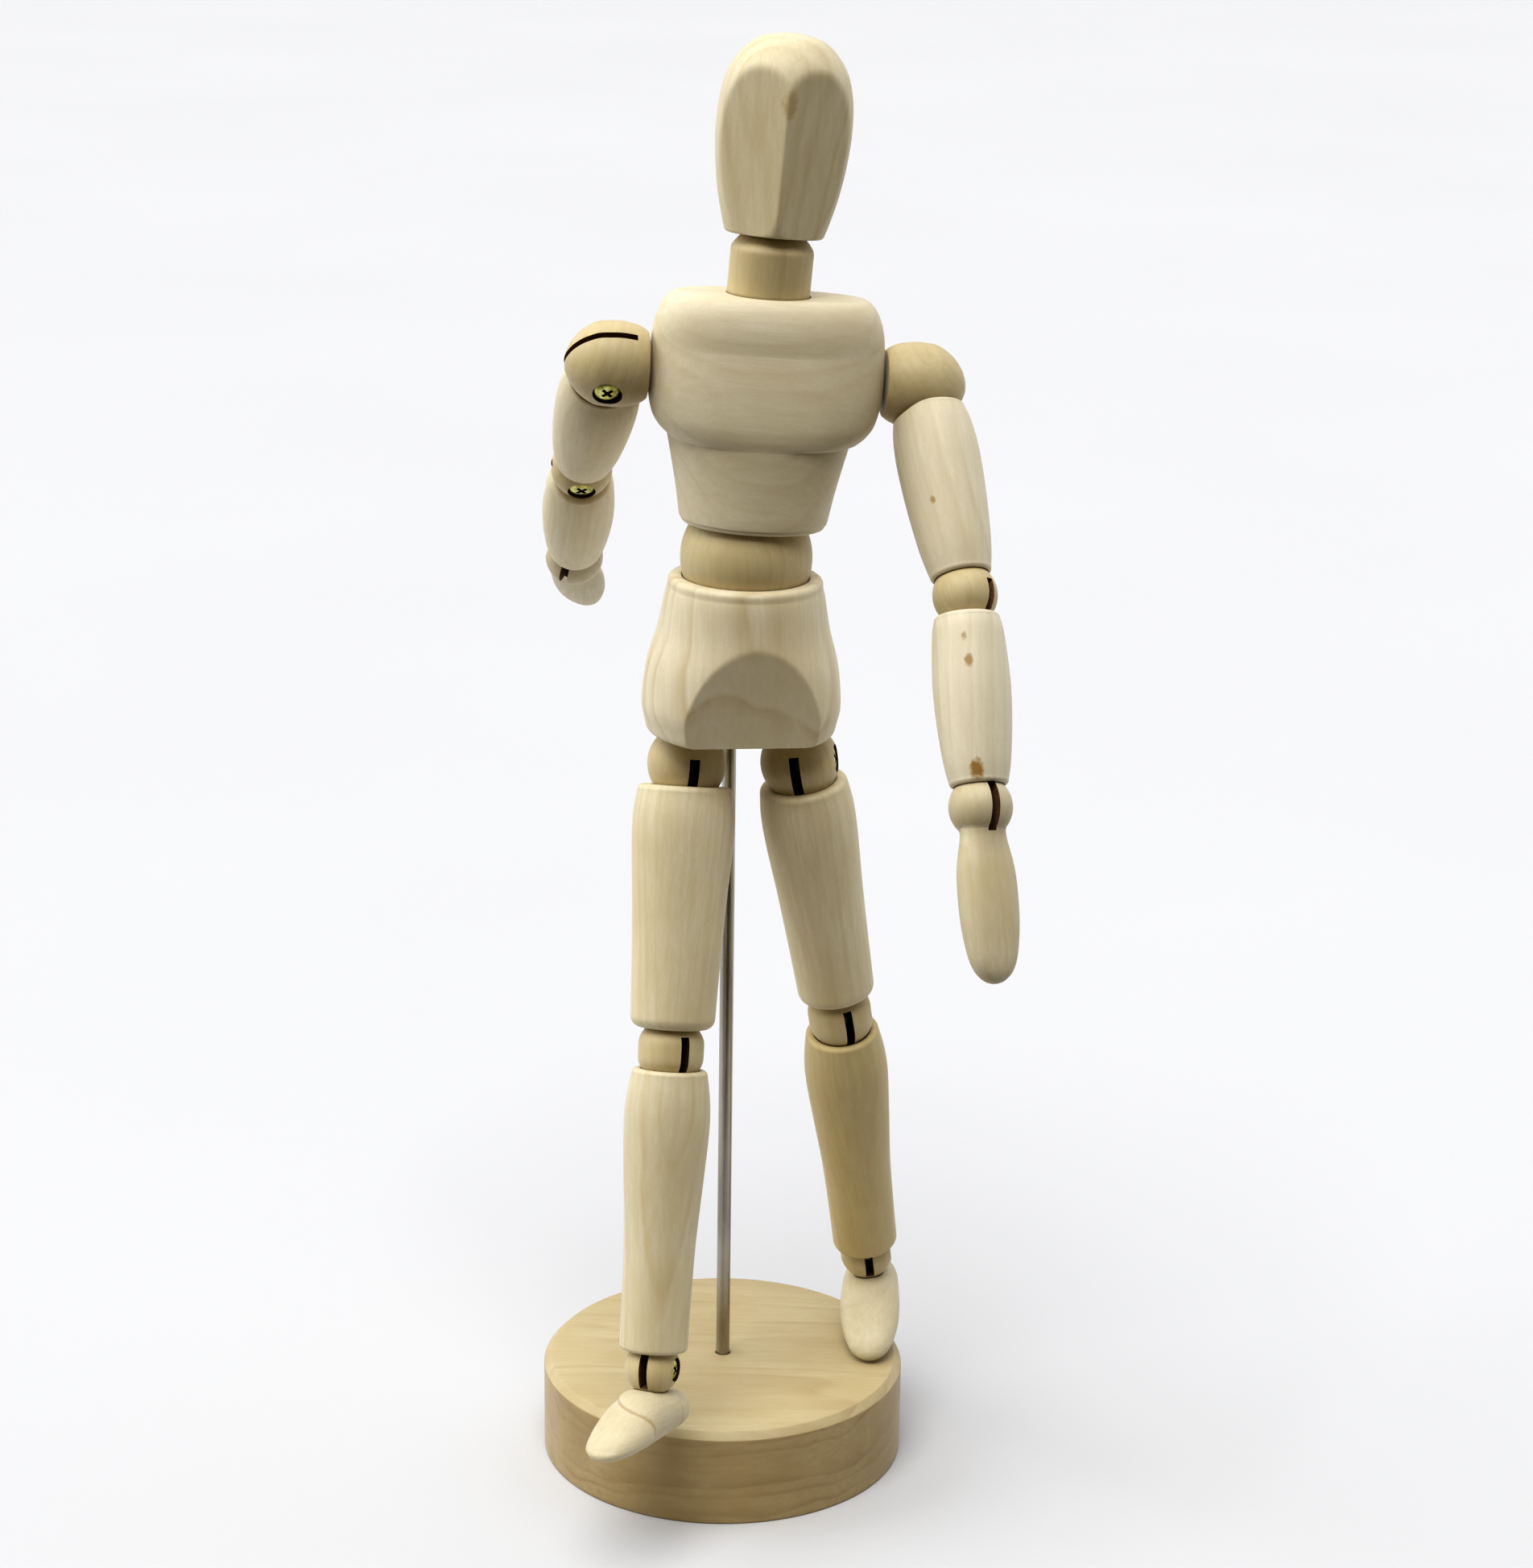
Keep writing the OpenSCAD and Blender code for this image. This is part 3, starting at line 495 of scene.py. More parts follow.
def build_base():
    hole = ROD_R + 0.15
    outline = [np.array((0.0, BASE_H - 8)), np.array((hole, BASE_H - 8))]
    outline += fillet((hole, 0), (hole, BASE_H), (BASE_R, BASE_H), 0.25, 3)
    chamfer_in, chamfer_out = (BASE_R - BASE_CHAMFER, BASE_H), (BASE_R, BASE_H - BASE_CHAMFER)
    outline += fillet((0, BASE_H), chamfer_in, chamfer_out, 0.6, 4)
    outline += fillet(chamfer_in, chamfer_out, (BASE_R, 0), 0.6, 4)
    outline += fillet((BASE_R, 9), (BASE_R, 0), (0, 0), 0.5, 4) + [np.array((0.0, 0.0))]
    me = new_mesh("turned_base", *lathe(dense(outline, 1.2), 256))
    for m in (base_wood(), shaded_base_side_wood()):
        me.materials.append(m)
    # faces that stand upright round the rim take the darker side wood: painted shade
    for face in me.polygons:
        face.material_index = int(abs(face.normal.z) < 0.6 and face.center.x ** 2 + face.center.y ** 2 > 35 ** 2)
    piece("turned_base", "base", me, Matrix.Scale(MM, 4), [], ["base"], lying(0, -88, 0, (60, 25, 0)))


def build_rod():
    low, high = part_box("stand_rod")
    z0, z1 = low.z / MM, high.z / MM
    outline = [np.array((0, z1))] + fillet((0, z1), (ROD_R, z1), (ROD_R, z0), 0.4, 4) \
        + fillet((ROD_R, z1), (ROD_R, z0), (0, z0), 0.4, 4) + [np.array((0, z0))]
    piece("steel_rod", "stand_rod", lathe(dense(outline, 3), 48), Matrix.Scale(MM, 4), [ROD_STEEL],
          ["stand_rod"])


# ---------------------------------------------------------------- trunk
HIP_SHIFT, HIP_X, HIP_R, WAIST_R, NECK_R, SOCKET_GAP = 1.0, 12, 8.3, 13.65, 9.6, 0.25
PELVIS_FLOOR, FACET_LOW, FACET_TILT = 7.2, 14.2, 10.2


def build_pelvis():
    waist_z = (FRAMES["pelvis"].inverted() @ place("waist_turn")).z
    top, bowl = waist_z - 4, WAIST_R + SOCKET_GAP
    rim = math.sqrt(bowl ** 2 - (top - waist_z) ** 2)
    inner = arc(bowl, waist_z, -90, math.degrees(math.asin((top - waist_z) / bowl)) - 1.2, 24)
    inner += fillet(inner[-1], (rim, top), (16, top), 0.35, 3)
    outer = fillet((rim, top), (15.9, top), (16.6, top - 4.3), 1.3, 6)
    outer += spline([(16.1, top - 2), (16.7, 36), (17.9, 29.5), (19.9, 22), (20.8, 14), (20.2, 10)], 10)[1:]
    outer += fillet((20.2, 10), (19.6, PELVIS_FLOOR), (0, PELVIS_FLOOR), 1.5, 6)
    verts, faces = lathe(dense(inner, 1.2) + dense(outer, 0.4) + [np.array((0, PELVIS_FLOOR))], 360)
    v = np.array(verts, float)
    outside = (v[:, 2] <= top) & (np.hypot(v[:, 0], v[:, 1]) > rim + 0.3)
    plane = FACET_LOW + (v[:, 2] - PELVIS_FLOOR) * math.tan(math.radians(FACET_TILT))
    for side in (-1, 1):
        depth = side * v[:, 1]
        flat = -soft_max(-depth, -plane, 0.16)
        v[:, 1] = np.where(outside & (depth > 0), side * flat, v[:, 1])
    v[:, 0] -= HIP_SHIFT
    halo = (-HIP_SHIFT, 0, 6), (14.8, 40, 23)
    wood = limb_wood("pelvis_wood", 1.1, ring_depth=0.6, gap=4.4, blotch=0.6, halo=halo)
    cutters = []
    for s in SIDES.values():
        ball = lathe(arc(HIP_R + SOCKET_GAP, 0, 90, -90, 48), 96)
        cutters.append(([(x + s * HIP_X, y, z) for x, y, z in ball[0]], ball[1], 0))
    rod_at = FRAMES["pelvis"].inverted() @ Vector((0, 0, place("hip_turn_r").z))
    lean = FRAMES["pelvis"].inverted().to_3x3() @ Vector((0, 0, 1))
    hole = turned_to(bar(ROD_R + 0.2, -10, 22),
                     Matrix.Translation(rod_at) @ lean.to_track_quat("Z", "X").to_matrix().to_4x4())
    # the rod hole's walls take the near-black cut wood: painted shade in the hole
    me = cut((v.tolist(), faces), cutters + [(*hole, 1)], [wood, BURNT_AND_SHADED])
    piece("pelvis_block", "pelvis", me, FRAMES["pelvis"], [], ["pelvis"],
          lying(12, 2, 0, (0, -21, 0)), sharp=38)


def build_waist_ball():
    outline = arc(WAIST_R, 0, 90, -74, 72)
    outline += [np.array((3.2, -WAIST_R * 0.96)), np.array((2.4, -3.2)), np.array((0, -3.2))]
    piece("waist_sphere", "waist_ball", lathe(outline, 128), FRAMES["waist_ball"], [BALL],
          ["waist_ball"], lying(4, 6, 0, (5, 30, 0)))


def build_torso():
    inward = FRAMES["torso"].inverted()
    neck = inward @ place("neck_turn")
    shoulders = {s: inward @ place("shoulder_swing_" + t) for t, s in SIDES.items()}
    chest_x = (shoulders[1].x + shoulders[-1].x) / 2
    top, floor, edge, count = neck.z - 4.6, 7.0, 0.9, 192
    belly = spline([(14.9, 13.8, floor), (15.4, 14.2, 9), (16.3, 14.4, 14), (17.4, 14.6, 19), (18.7, 14.9, 24.5)], 10)
    chest = spline([(19.4, 15.1, 25.2), (21.2, 15.4, 26.7), (22.8, 15.5, 29.2), (23.8, 15.1, 33.5),
                    (24.0, 14.4, 38), (23.8, 13.3, 43.5)], 12)
    low_a, low_b = belly[0][:2]
    shape = [(low_a * k / 12, low_b * k / 12, floor, 2.1) for k in range(1, 11)]
    for t in np.linspace(0, math.pi / 2, 6):
        inset, rise = edge * (1 - math.sin(t)), edge * (1 - math.cos(t))
        shape.append((low_a - inset, low_b - inset, floor + rise, 2.1))
    shape += [(a, b, z, 2.1) for a, b, z in belly if z > floor + edge + 0.1]
    shape += [(a, b, z, 2.45) for a, b, z in chest]
    high_a, high_b, high_z = chest[-1]
    for t in np.linspace(0, math.pi / 2, 17)[1:]:
        shape.append((high_a - 5.2 * (1 - math.cos(t)), high_b - 4.6 * (1 - math.cos(t)),
                      high_z + (top - high_z) * math.sin(t), 2.4))
    rim_a, rim_b = shape[-1][:2]
    shape += [(rim_a * (1 - k / 16), rim_b * (1 - k / 16), top, 2.4 - 0.4 * k / 16) for k in range(1, 16)]
    rings = [superellipse(a, b, z, p, count, (neck.x if z < 25 else chest_x, 0)) for a, b, z, p in reversed(shape)]
    wood = limb_wood("torso_wood", 1.1, blotch=0.6, gap=5.0, ring_depth=0.2)
    cutters = []
    for r, x, z in ((WAIST_R, 0, 0), (NECK_R, neck.x, neck.z)):
        ball = lathe(arc(r + SOCKET_GAP, 0, 90, -90, 56), 128)
        cutters.append((*turned_to(ball, Matrix.Translation((x, 0, z))), 0))
    for s, shoulder in shoulders.items():
        outwards = Matrix.Translation(shoulder) @ Matrix.Rotation(math.radians(-s * 90), 4, "Y")
        hole = turned_to(bar(2.05, 0, 20), outwards)
        cutters.append((*hole, 1))
    # the shoulder holes' walls take the near-black cut wood: painted shade in the holes
    me = cut(stack(rings), cutters, [wood, BURNT_AND_SHADED])
    piece("chest_block", "torso", me, FRAMES["torso"], [], ["torso"],
          lying(3, 88, 0, (3, -30, 0)), sharp=40)


NECK_BARREL = 8.45      # the neck ball's sides are turned straight


def build_neck_ball():
    outline = barrelled(arc(NECK_R, 0, 90, -72, 72), NECK_BARREL)
    outline += [np.array((2.6, -NECK_R * 0.93)), np.array((2.4, -3.2)), np.array((0, -3.2))]
    piece("neck_sphere", "neck_ball", lathe(outline, 96), FRAMES["neck_ball"], [BALL],
          ["neck_ball"], lying(2, -5, 0, (6, 28, 0)))


def build_head():
    floor, top = 7.3, 47.4
    side = spline([(10.3, floor + 1.2), (10.9, 10.4), (12.3, 16), (13.3, 22.5), (13.7, 29), (13.2, 35.7),
                   (11.3, 41.3), (7.4, 45.6), (3.2, 47.1), (0, top)], 12)
    bowl = NECK_R + SOCKET_GAP
    rim = math.sqrt(bowl ** 2 - floor ** 2)
    outline = [np.array((0, top))] + side[::-1][1:]
    outline += fillet((10.3, floor + 1.2), (10.0, floor), (0, floor), 1.0, 6)
    outline += fillet((8.4, floor), (rim, floor), (rim - 0.3, floor + 0.5), 0.2, 3)
    outline += arc(bowl, 0, math.degrees(math.asin(floor / bowl)) + 2, 90, 20)
    verts, faces = lathe(dense(outline, 0.5), 256)
    v = np.array(verts, float)
    outer = np.hypot(v[:, 0], v[:, 1]) > rim + 0.1
    outer |= v[:, 2] > bowl + 0.5
    tilt, half = math.radians(5), math.radians(30)
    ridge = 10.6 + (v[:, 2] - floor) * math.tan(tilt)
    for s in (-1, 1):
        normal = np.array((s * math.sin(half), -math.cos(half)))
        reach = v[:, 0] * normal[0] + v[:, 1] * normal[1]
        limit = ridge * math.cos(half)
        pull = np.where(outer, reach + soft_max(-reach, -limit, 0.5), 0)
        v[:, 0] -= pull * normal[0]
        v[:, 1] -= pull * normal[1]
    wood = limb_wood("head_wood", blotch=0.35, ring_depth=0.35, gap=5.0,
                     knots=(((0.3, -12.6, 33.5), 2.6, 0.4),))
    piece("egg_head", "head", (v.tolist(), faces), FRAMES["head"], [wood], ["head"],
          lying(5, 2, 0, (1, 30, 0)), sharp=40)


# ---------------------------------------------------------------- limbs
def cup_and_rim(cup, centre_z, r, z, rim, side):
    """One end of a limb from the bottom of its cup out to its rounded rim; side is 1 at the top end."""
    rim_path = [np.array((x, z)) for x in np.linspace(r - rim - 5, r - rim, 100)]
    rim_path += [np.array((r - rim + rim * math.sin(a), z - side * rim * (1 - math.cos(a))))
                 for a in np.linspace(0.1, math.pi / 2, 12)]
    outside = [p for p in rim_path if math.hypot(p[0], p[1] - centre_z) > cup]
    lip = outside[0]
    rest = [p for p in outside if np.linalg.norm(p - lip) > 0.2]
    mouth = math.degrees(math.atan2(lip[1] - centre_z, lip[0]))
    inner = arc(cup, centre_z, -90 * side, mouth - 1.5 * side, 18)
    return inner + fillet(inner[-1], lip, rest[0], 0.15, 3) + rest


def limb_outline(r_top, z_top, belly, r_bottom, z_bottom, ball_top, ball_bottom, length, rim=1.0, low_rim=1.0):
    """A turned limb with a cup at each end for the balls of the joints above and below it."""
    out = cup_and_rim(ball_top + SOCKET_GAP, 0, r_top, z_top, rim, 1)
    out += spline([(r_top, z_top - rim)] + belly + [(r_bottom, z_bottom + low_rim)], 9)[1:-1]
    out += cup_and_rim(ball_bottom + SOCKET_GAP, -length, r_bottom, z_bottom, low_rim, -1)[::-1]
    return dense(out, 1.1)


def head_seat(r, head_r):
    """Where the underside of a sunk screw head rests, from the ball's centre."""
    return math.sqrt(r * r - (head_r + 0.2) ** 2) - 1.6


def ball_with_slot(r, slot_w, slot_top, head_r, up=1, barrel=None, outline=None, walls=None):
    """A joint ball with its saw slot (open below, or above when up is -1) and its sunk screw's hole."""
    outline = outline or arc(r, 0, 90, -90, 72)
    if barrel:
        outline = barrelled(outline, barrel)
    half = slot_w / 2
    slot = box((-half, half), (-25, 25), (-25, slot_top) if up > 0 else (-slot_top, 25))
    recess = turned_to(bar(head_r + 0.2, head_seat(r, head_r), 20), LIE_X)
    # the slot's and the recess's walls take the dark cut wood: painted shade inside them
    return cut(lathe(outline, 128), [(*slot, 1), (*recess, 2)], [BALL, walls or BURNT_AND_SHADED, BURNT_AND_SHADED])


def screw(head_r, r):
    """Pan-head cross screw lying along X, its head sunk in the ball."""
    seat = head_seat(r, head_r)
    top = seat + 1.5
    outline = [np.array((0, top))]
    outline += [np.array((head_r * math.sin(t), top - 0.45 * (1 - math.cos(t)) / (1 - math.cos(1.2))))
                for t in np.linspace(0.1, 1.2, 8)]
    outline += [np.array((head_r, top - 0.6)), np.array((head_r, seat))]
    outline += [np.array((1.5, seat)), np.array((1.5, -r * 0.8)), np.array((0, -r * 0.8))]
    solid = turned_to(lathe(dense(outline, 0.4), 64), LIE_X)
    arms = []
    half, wide, deep = 0.66 * head_r, 0.16 * head_r, top - 1.1
    for turn in (45, 135):
        v = [(x, y * a, z * b) for x, a, b in ((deep, 0.5 * half, 0.6 * wide), (top + 1, half, wide))
             for y, z in ((-1, -1), (1, -1), (1, 1), (-1, 1))]
        f = [(0, 3, 2, 1), (4, 5, 6, 7), (0, 1, 5, 4), (1, 2, 6, 5), (2, 3, 7, 6), (3, 0, 4, 7)]
        arms.append((*turned_to((v, f), Matrix.Rotation(math.radians(turn), 4, "X")), 1))
    # the cross recess's walls take the near-black plate: painted shade in the recess
    return cut(solid, arms, [ZINC, RECESS_SHADE])


KNOB = {s: Matrix(((0, 0, -s, 0), (s, 0, 0, 0), (0, -1, 0, 0), (0, 0, 0, 1))) for s in SIDES.values()}
SHOULDER_R, ELBOW_R, WRIST_R, KNEE_R, ANKLE_R = 8.7, 6.6, 6.45, 7.2, 5.85
HEAD_R, ANKLE_HEAD_R, SLOT_W = 2.8, 2.3, 1.8      # screw heads and saw slots
KNOB_FLAT = 8.3


def knob_outline(gap=0.0):
    """The shoulder knob's outline: flat against the chest, widest behind that, narrower outside."""
    flat = KNOB_FLAT + gap
    out = [np.array((0, flat))] + fillet((0, flat), (6.75 + gap, flat), (7.3 + gap, flat - 0.7), 0.4, 4)
    out += spline([(7.3 + gap, 7.6), (8.05 + gap, 6.1), (8.55 + gap, 4), (8.75 + gap, 2.2), (8.7 + gap, 0.6),
                   (8.4, -2), (7.4, -4), (6.1, -5.7), (4.2, -7.25), (2.1, -8.25), (0.6, -8.58)], 8)[1:]
    return out + [np.array((0, -8.6))]


def build_arm(t, s, woods):
    upper, fore = drop("arm_raise_" + t, "elbow_bend_" + t), drop("elbow_bend_" + t, "wrist_bend_" + t)
    knob_frame = FRAMES["shoulder_" + t] @ KNOB[s]
    me = ball_with_slot(SHOULDER_R, 1.4, 5.6, HEAD_R, outline=knob_outline(), walls=SAWN_AND_SHADED)
    piece("shoulder_knob_" + t, "shoulder_" + t, me, knob_frame, [], ["shoulder_ball_" + t],
          lying(0, 80, 0, (20, 9, 0)), sharp=32)
    piece("shoulder_bolt_" + t, "shoulder_" + t, screw(HEAD_R, SHOULDER_R), knob_frame, [],
          ["shoulder_screw_" + t])
    outline = limb_outline(7.4, -5.4, [(8.2, -10), (8.6, -16), (8.3, -25), (7.4, -35)], 6.3, -upper + 3.9,
                           SHOULDER_R, ELBOW_R, upper)
    hollow = turned_to(lathe(knob_outline(0.3), 128), KNOB[s])
    piece("turned_upper_arm_" + t, "upper_arm_" + t, cut(lathe(outline, 144), [(*hollow, 0)], [woods["upper_arm"]]),
          FRAMES["upper_arm_" + t], [], ["upper_arm_" + t], lying(2, 3 * s, 50 * s, (30, 12, 5 * s)))
    piece("elbow_joint_" + t, "elbow_" + t, ball_with_slot(ELBOW_R, SLOT_W, 1.5, HEAD_R, walls=SAWN_AND_SHADED),
          FRAMES["elbow_" + t], [], ["elbow_ball_" + t], lying(5, 8, 20, (14, 8, 0)), sharp=32)
    piece("elbow_bolt_" + t, "elbow_" + t, screw(HEAD_R, ELBOW_R), FRAMES["elbow_" + t], [],
          ["elbow_screw_" + t])
    outline = limb_outline(6.7, -4.2, [(7.3, -8.5), (7.85, -18), (7.6, -26), (6.8, -34)], 6.0, -fore + 4.2,
                           ELBOW_R, WRIST_R, fore)
    piece("turned_forearm_" + t, "forearm_" + t, lathe(outline, 144), FRAMES["forearm_" + t],
          [woods["forearm"]], ["forearm_" + t], lying(2, -2, 80 * s, (26, 16, -5)))
    build_hand(t, woods["hand"])


def build_hand(t, wood):
    """The mitten hand and the wrist ball above it, turned in one piece."""
    n, rings = 96, []
    for a in np.linspace(84, -42, 40):
        r = WRIST_R * math.cos(math.radians(a))
        rings.append(superellipse(r, r, WRIST_R * math.sin(math.radians(a)), 2, n))
    mitten = spline([(4.75, 4.15, -4.9), (4.9, 3.75, -6.4), (5.5, 3.6, -9), (6.15, 3.9, -13), (6.3, 4.15, -18),
                     (6.1, 4.0, -24), (5.2, 3.4, -30), (3.9, 2.7, -33.2), (2.2, 1.7, -34.9), (0.8, 0.7, -35.5)], 7)
    for a, b, z in mitten:
        rings.append(superellipse(a, b, z, 2.0 + 0.3 * min(1, max(0, (-z - 5) / 6)), n))
    slot = box((-SLOT_W / 2, SLOT_W / 2), (-25, 25), (-5.5, 25))
    recess = turned_to(bar(HEAD_R + 0.2, head_seat(WRIST_R, HEAD_R), 20), LIE_X)
    # the slot's and the recess's walls take the dark cut wood: painted shade inside them
    me = cut(stack(rings), [(*slot, 1), (*recess, 2)], [wood, SAWN_AND_SHADED, BURNT_AND_SHADED])
    piece("mitten_hand_" + t, "hand_" + t, me, FRAMES["hand_" + t], [], ["hand_" + t],
          lying(3, 4, 30, (22, 10, 0)), sharp=34)
    piece("wrist_bolt_" + t, "hand_" + t, screw(HEAD_R, WRIST_R), FRAMES["hand_" + t], [],
          ["wrist_screw_" + t])


THIGH_GIRTH = {"r": 1.0, "l": 0.93}      # the left thigh is turned a little thinner


def girth_at(point, girth, length):
    """A limb outline's radius with its outside made thinner and its two cups left as they are."""
    r, z = point
    in_hip_cup = r * r + z * z < (HIP_R + SOCKET_GAP + 0.1) ** 2
    in_knee_cup = r * r + (z + length) ** 2 < (KNEE_R + SOCKET_GAP + 0.1) ** 2
    return r if in_hip_cup or in_knee_cup else r * girth


def build_leg(t, s, woods):
    thigh, calf = drop("hip_swing_" + t, "knee_bend_" + t), drop("knee_bend_" + t, "ankle_bend_" + t)
    piece("hip_joint_" + t, "hip_" + t, ball_with_slot(HIP_R, 2.1, 3.0, HEAD_R), FRAMES["hip_" + t], [],
          ["hip_ball_" + t], lying(3, 5 * s, 0, (6, 18, 0)), sharp=32)
    piece("hip_bolt_" + t, "hip_" + t, screw(HEAD_R, HIP_R), FRAMES["hip_" + t], [],
          ["hip_screw_" + t])
    outline = limb_outline(10.1, -4.7, [(10.7, -11), (10.6, -18), (9.9, -29), (9.3, -42)], 8.9, -thigh + 4.7,
                           HIP_R, KNEE_R, thigh, rim=1.3, low_rim=2.4)
    outline = [np.array((girth_at(p, THIGH_GIRTH[t], thigh), p[1])) for p in outline]
    piece("turned_thigh_" + t, "thigh_" + t, lathe(outline, 160), FRAMES["thigh_" + t], [woods["thigh"]],
          ["thigh_" + t], lying(1.5, 2 * s, 0, (4 * s, 24, 0)))
    piece("knee_joint_" + t, "knee_" + t, ball_with_slot(KNEE_R, SLOT_W, 3.4, HEAD_R, barrel=0.96 * KNEE_R),
          FRAMES["knee_" + t], [], ["knee_ball_" + t], lying(4, -4 * s, 0, (5, 16, 0)), sharp=32)
    piece("knee_bolt_" + t, "knee_" + t, screw(HEAD_R, KNEE_R), FRAMES["knee_" + t], [],
          ["knee_screw_" + t])
    outline = limb_outline(8.0, -3.9, [(8.8, -10), (9.05, -16), (8.5, -26), (7.6, -40), (7.3, -52)], 7.2,
                           -calf + 3.6, KNEE_R, ANKLE_R, calf)
    piece("turned_calf_" + t, "calf_" + t, lathe(outline, 144), FRAMES["calf_" + t], [woods["calf"]],
          ["calf_" + t], lying(5, 1.5 * s, 0, (1.5, 14, 0)))
    piece("ankle_joint_" + t, "ankle_" + t, ball_with_slot(ANKLE_R, SLOT_W, 3.4, ANKLE_HEAD_R, up=-1, walls=SAWN_AND_SHADED),
          FRAMES["ankle_" + t], [], ["ankle_ball_" + t], lying(6, 5, 0, (8, 12, 0)), sharp=32)
    piece("ankle_bolt_" + t, "ankle_" + t, screw(ANKLE_HEAD_R, ANKLE_R), FRAMES["ankle_" + t], [],
          ["ankle_screw_" + t])
    build_foot(t, s, woods["foot"])


DOME_CENTRE, DOME_R = (2.5, -4.0), 7.2      # round instep of the foot: towards the inner side, and its radius
DOME_STEP = {"r": 1.0, "l": 0.25}           # the left foot's step is sanded nearly smooth


def build_foot(t, s, wood):
    """Carved foot: a heel, a domed instep that ends in a step and a lower toe, with a seat for the ankle ball."""
    line = spline([(1.5, 1.0, 9.7, -9.9), (3.5, 2.6, 9.0, -10), (5.0, 3.9, 7.4, -10.1), (6.1, 4.7, 3.6, -9.8),
                   (6.5, 5.2, -2, -9.5), (6.7, 5.1, -7, -9.6), (6.4, 4.2, -12, -10.5), (5.5, 3.2, -16.5, -11.4),
                   (4.2, 2.3, -20, -12.1), (2.4, 1.4, -21.8, -12.6), (1.0, 0.6, -22.4, -12.8)], 12)
    rings = [[(p[0], y, zc + p[1]) for p in superellipse(a, b, 0, 2.25, 160)] for a, b, y, zc in line]
    v, f = stack(rings[::-1])
    v = np.array(v, float)
    x, y = DOME_CENTRE
    reach = np.hypot(v[:, 0] + s * x, v[:, 1] - y)
    inside = 1 / (1 + np.exp((reach - DOME_R) / 0.12))
    upper = np.clip((v[:, 2] + 13.2) / 2.0, 0, 1)
    bulge = 0.45 * np.sqrt(np.clip(1 - (reach / DOME_R) ** 2, 0, 1))
    v[:, 2] += (0.7 * (inside - 1) + bulge) * upper * DOME_STEP[t] * np.where(v[:, 1] < y, 1, 0.6)
    ball = lathe(arc(ANKLE_R + SOCKET_GAP, 0, 90, -90, 48), 96)
    piece("carved_foot_" + t, "foot_" + t, cut((v.tolist(), f), [(*ball, 0)], [wood]), FRAMES["foot_" + t], [],
          ["foot_" + t], lying(96, 4, 0, (3, 18, 0)), sharp=42)


MARKS_L = {       # knots on the left arm, as (centre, radius, strength)
    "upper_arm": [((-4.6, -7.0, -27.5), 0.9, 0.7)],
    "forearm": [((-6.8, -3.7, -10), 1.0, 0.7), ((-6.5, -4.1, -15), 1.3, 0.8), ((-5.5, -3.5, -37.0), 2.1, 0.95)],
}


def woods_of(t, s):
    """The wood of each limb on one side; the left side has the whiter arm, the knots and the tan calf."""
    left = t == "l"
    marks = MARKS_L if left else {"upper_arm": [], "forearm": []}
    # the right foot's instep step gets a dark line painted along its crease: painted shade
    dome_step_shade = [] if left else [((-s * DOME_CENTRE[0], DOME_CENTRE[1], 0), DOME_R)]
    return {
        "upper_arm": limb_wood("upper_arm_wood_" + t, 1.15 if left else 1.0, knots=marks["upper_arm"]),
        "forearm": limb_wood("forearm_wood_" + t, 1.2 if left else 1.0, blotch=0.3, knots=marks["forearm"]),
        "hand": limb_wood("hand_wood_" + t, 0.85, blotch=0.9),
        "thigh": limb_wood("thigh_wood_" + t, blotch=0.7),
        "calf": calf_wood() if left else limb_wood("calf_wood_" + t, 0.93, blotch=0.6, ring_depth=0.5),
        "foot": limb_wood("foot_wood_" + t, 0.85, blotch=0.4, ring_depth=0.2, seams=dome_step_shade),
    }


def metal_fittings():
    """CAD nodes kept as they are: studs, springs and tongues, seen only inside the slots and sockets, in a darkened
    steel that paints the shade they sit in.
    """
    for name, o in frame["nodes"].items():
        if "tongue" in name or "stud" in name or "spring" in name:
            o.data.materials.clear()
            o.data.materials.append(SHADED_FITTING_STEEL)


# ---------------------------------------------------------------- studio
def sweep():
    """Seamless paper: a long floor that curves up into a backdrop far behind."""
    bend = np.linspace(0.1, math.pi / 2, 24)
    profile = [(-0.16, 0.0), (9.0, 0.0)] + [(9 + 2 * math.sin(a), 2 - 2 * math.cos(a)) for a in bend] + [(11.0, 6.0)]
    verts = [(x, y, z) for y, z in profile for x in (-9.0, 9.0)]
    faces = [(2 * i, 2 * i + 1, 2 * i + 3, 2 * i + 2) for i in range(len(profile) - 1)]
    me = new_mesh("paper_sweep", verts, faces)
    me.materials.append(paper())
    me.shade_smooth()
    o = bpy.data.objects.new("paper_sweep", me)
    bpy.context.scene.collection.objects.link(o)


def soft_sun(name, towards, spread, strength):
    """Even light from one side of the tent, as wide in degrees as the spread."""
    light = bpy.data.lights.new(name, "SUN")
    light.angle, light.energy = math.radians(spread), strength
    o = bpy.data.objects.new(name, light)
    o.rotation_euler = Vector(towards).to_track_quat("-Z", "Y").to_euler()
    bpy.context.scene.collection.objects.link(o)


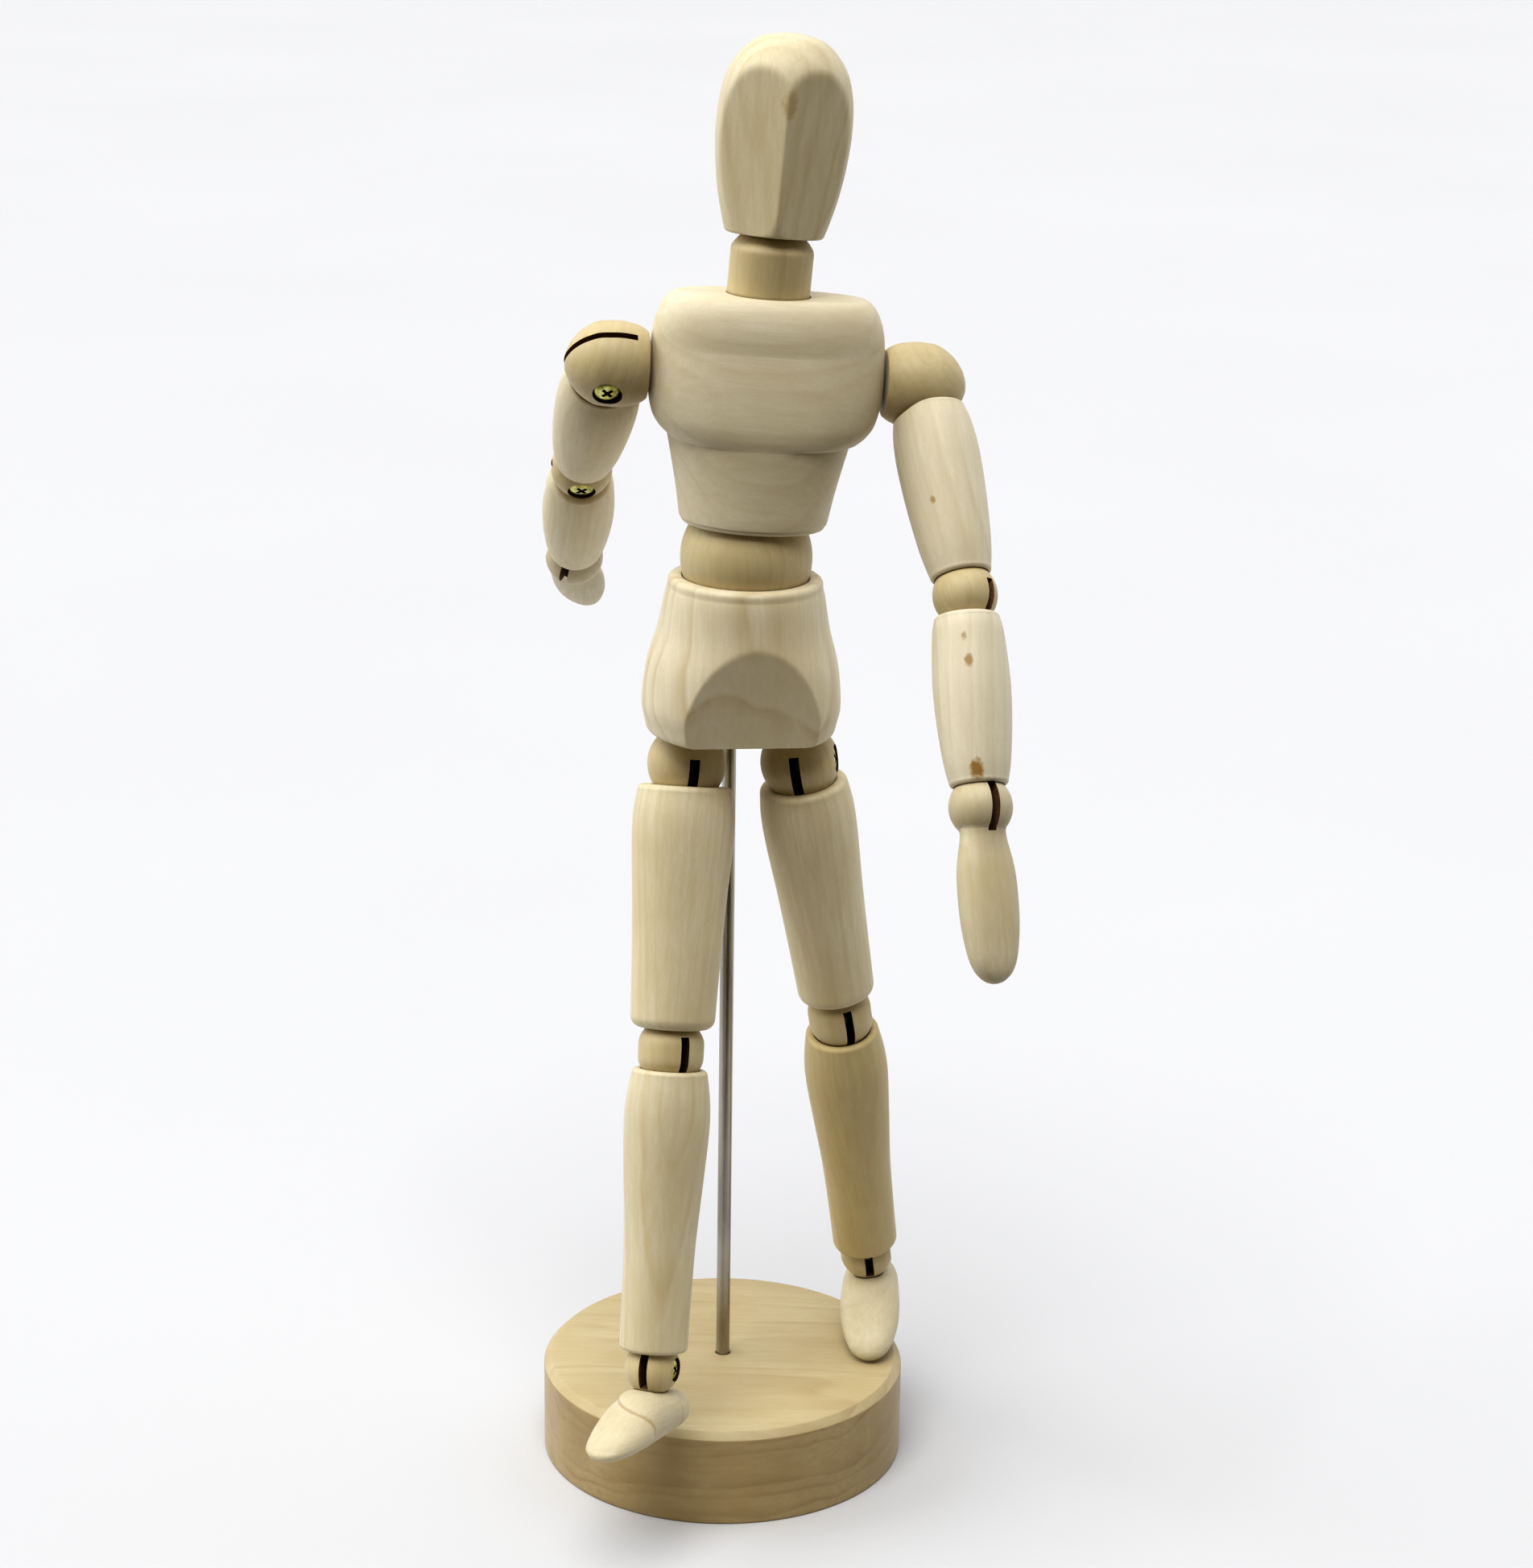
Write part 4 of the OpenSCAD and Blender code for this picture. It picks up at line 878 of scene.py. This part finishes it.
def studio_air():
    """A white light tent, brightest overhead and behind; its open front only gives a dim warm fill."""
    world = bpy.data.worlds.new("studio")
    bpy.context.scene.world = world
    world.use_nodes = True
    nt = world.node_tree
    way = add(nt, "ShaderNodeSeparateXYZ", Vector=add(nt, "ShaderNodeTexCoord").outputs["Generated"])
    back = math_node(nt, "ADD", math_node(nt, "MULTIPLY", way.outputs["Y"], 0.5), 0.5)
    tent = ramp(nt, back, [(0.0, (0.03, 0.025, 0.018)), (0.32, (0.12, 0.10, 0.07)), (0.52, (0.34, 0.35, 0.37)),
                           (0.75, (0.62, 0.64, 0.68))])
    upwards = math_node(nt, "MAXIMUM", way.outputs["Z"], 0.0)
    above = math_node(nt, "MULTIPLY", math_node(nt, "MULTIPLY", upwards, back), 0.7)
    both = add(nt, "ShaderNodeVectorMath", operation="ADD", in0=tent, in1=above).outputs[0]
    nt.links.new(both, nt.nodes["Background"].inputs["Color"])
    nt.nodes["Background"].inputs["Strength"].default_value = 1.0


def camera():
    pitch, roll = math.radians(17.414), math.radians(-0.793)
    forward = Vector((0, math.cos(pitch), -math.sin(pitch)))
    right = Vector((1, 0, 0))
    down = forward.cross(right)
    x = math.cos(roll) * right + math.sin(roll) * down
    y = -(-math.sin(roll) * right + math.cos(roll) * down)
    m = Matrix((x, y, -forward)).transposed().to_4x4()
    m.translation = (0.00805, -0.74271, 0.3879)
    cam = bpy.data.cameras.new("camera")
    cam.lens, cam.sensor_width = 83.73, 36
    o = bpy.data.objects.new("camera", cam)
    o.matrix_world = m
    bpy.context.scene.collection.objects.link(o)
    bpy.context.scene.camera = o


camera()
sweep()
studio_air()
soft_sun("overhead", (0.12, 0.45, -1.0), 40, 1.8)
soft_sun("left_side", (1.0, -0.05, -0.6), 50, 0.9)

build_base()
build_rod()
build_pelvis()
build_waist_ball()
build_torso()
build_neck_ball()
build_head()
for t, s in SIDES.items():
    woods = woods_of(t, s)
    build_arm(t, s, woods)
    build_leg(t, s, woods)
metal_fittings()

bpy.context.scene.view_settings.view_transform = "Standard"
bpy.context.scene.view_settings.look = "High Contrast"
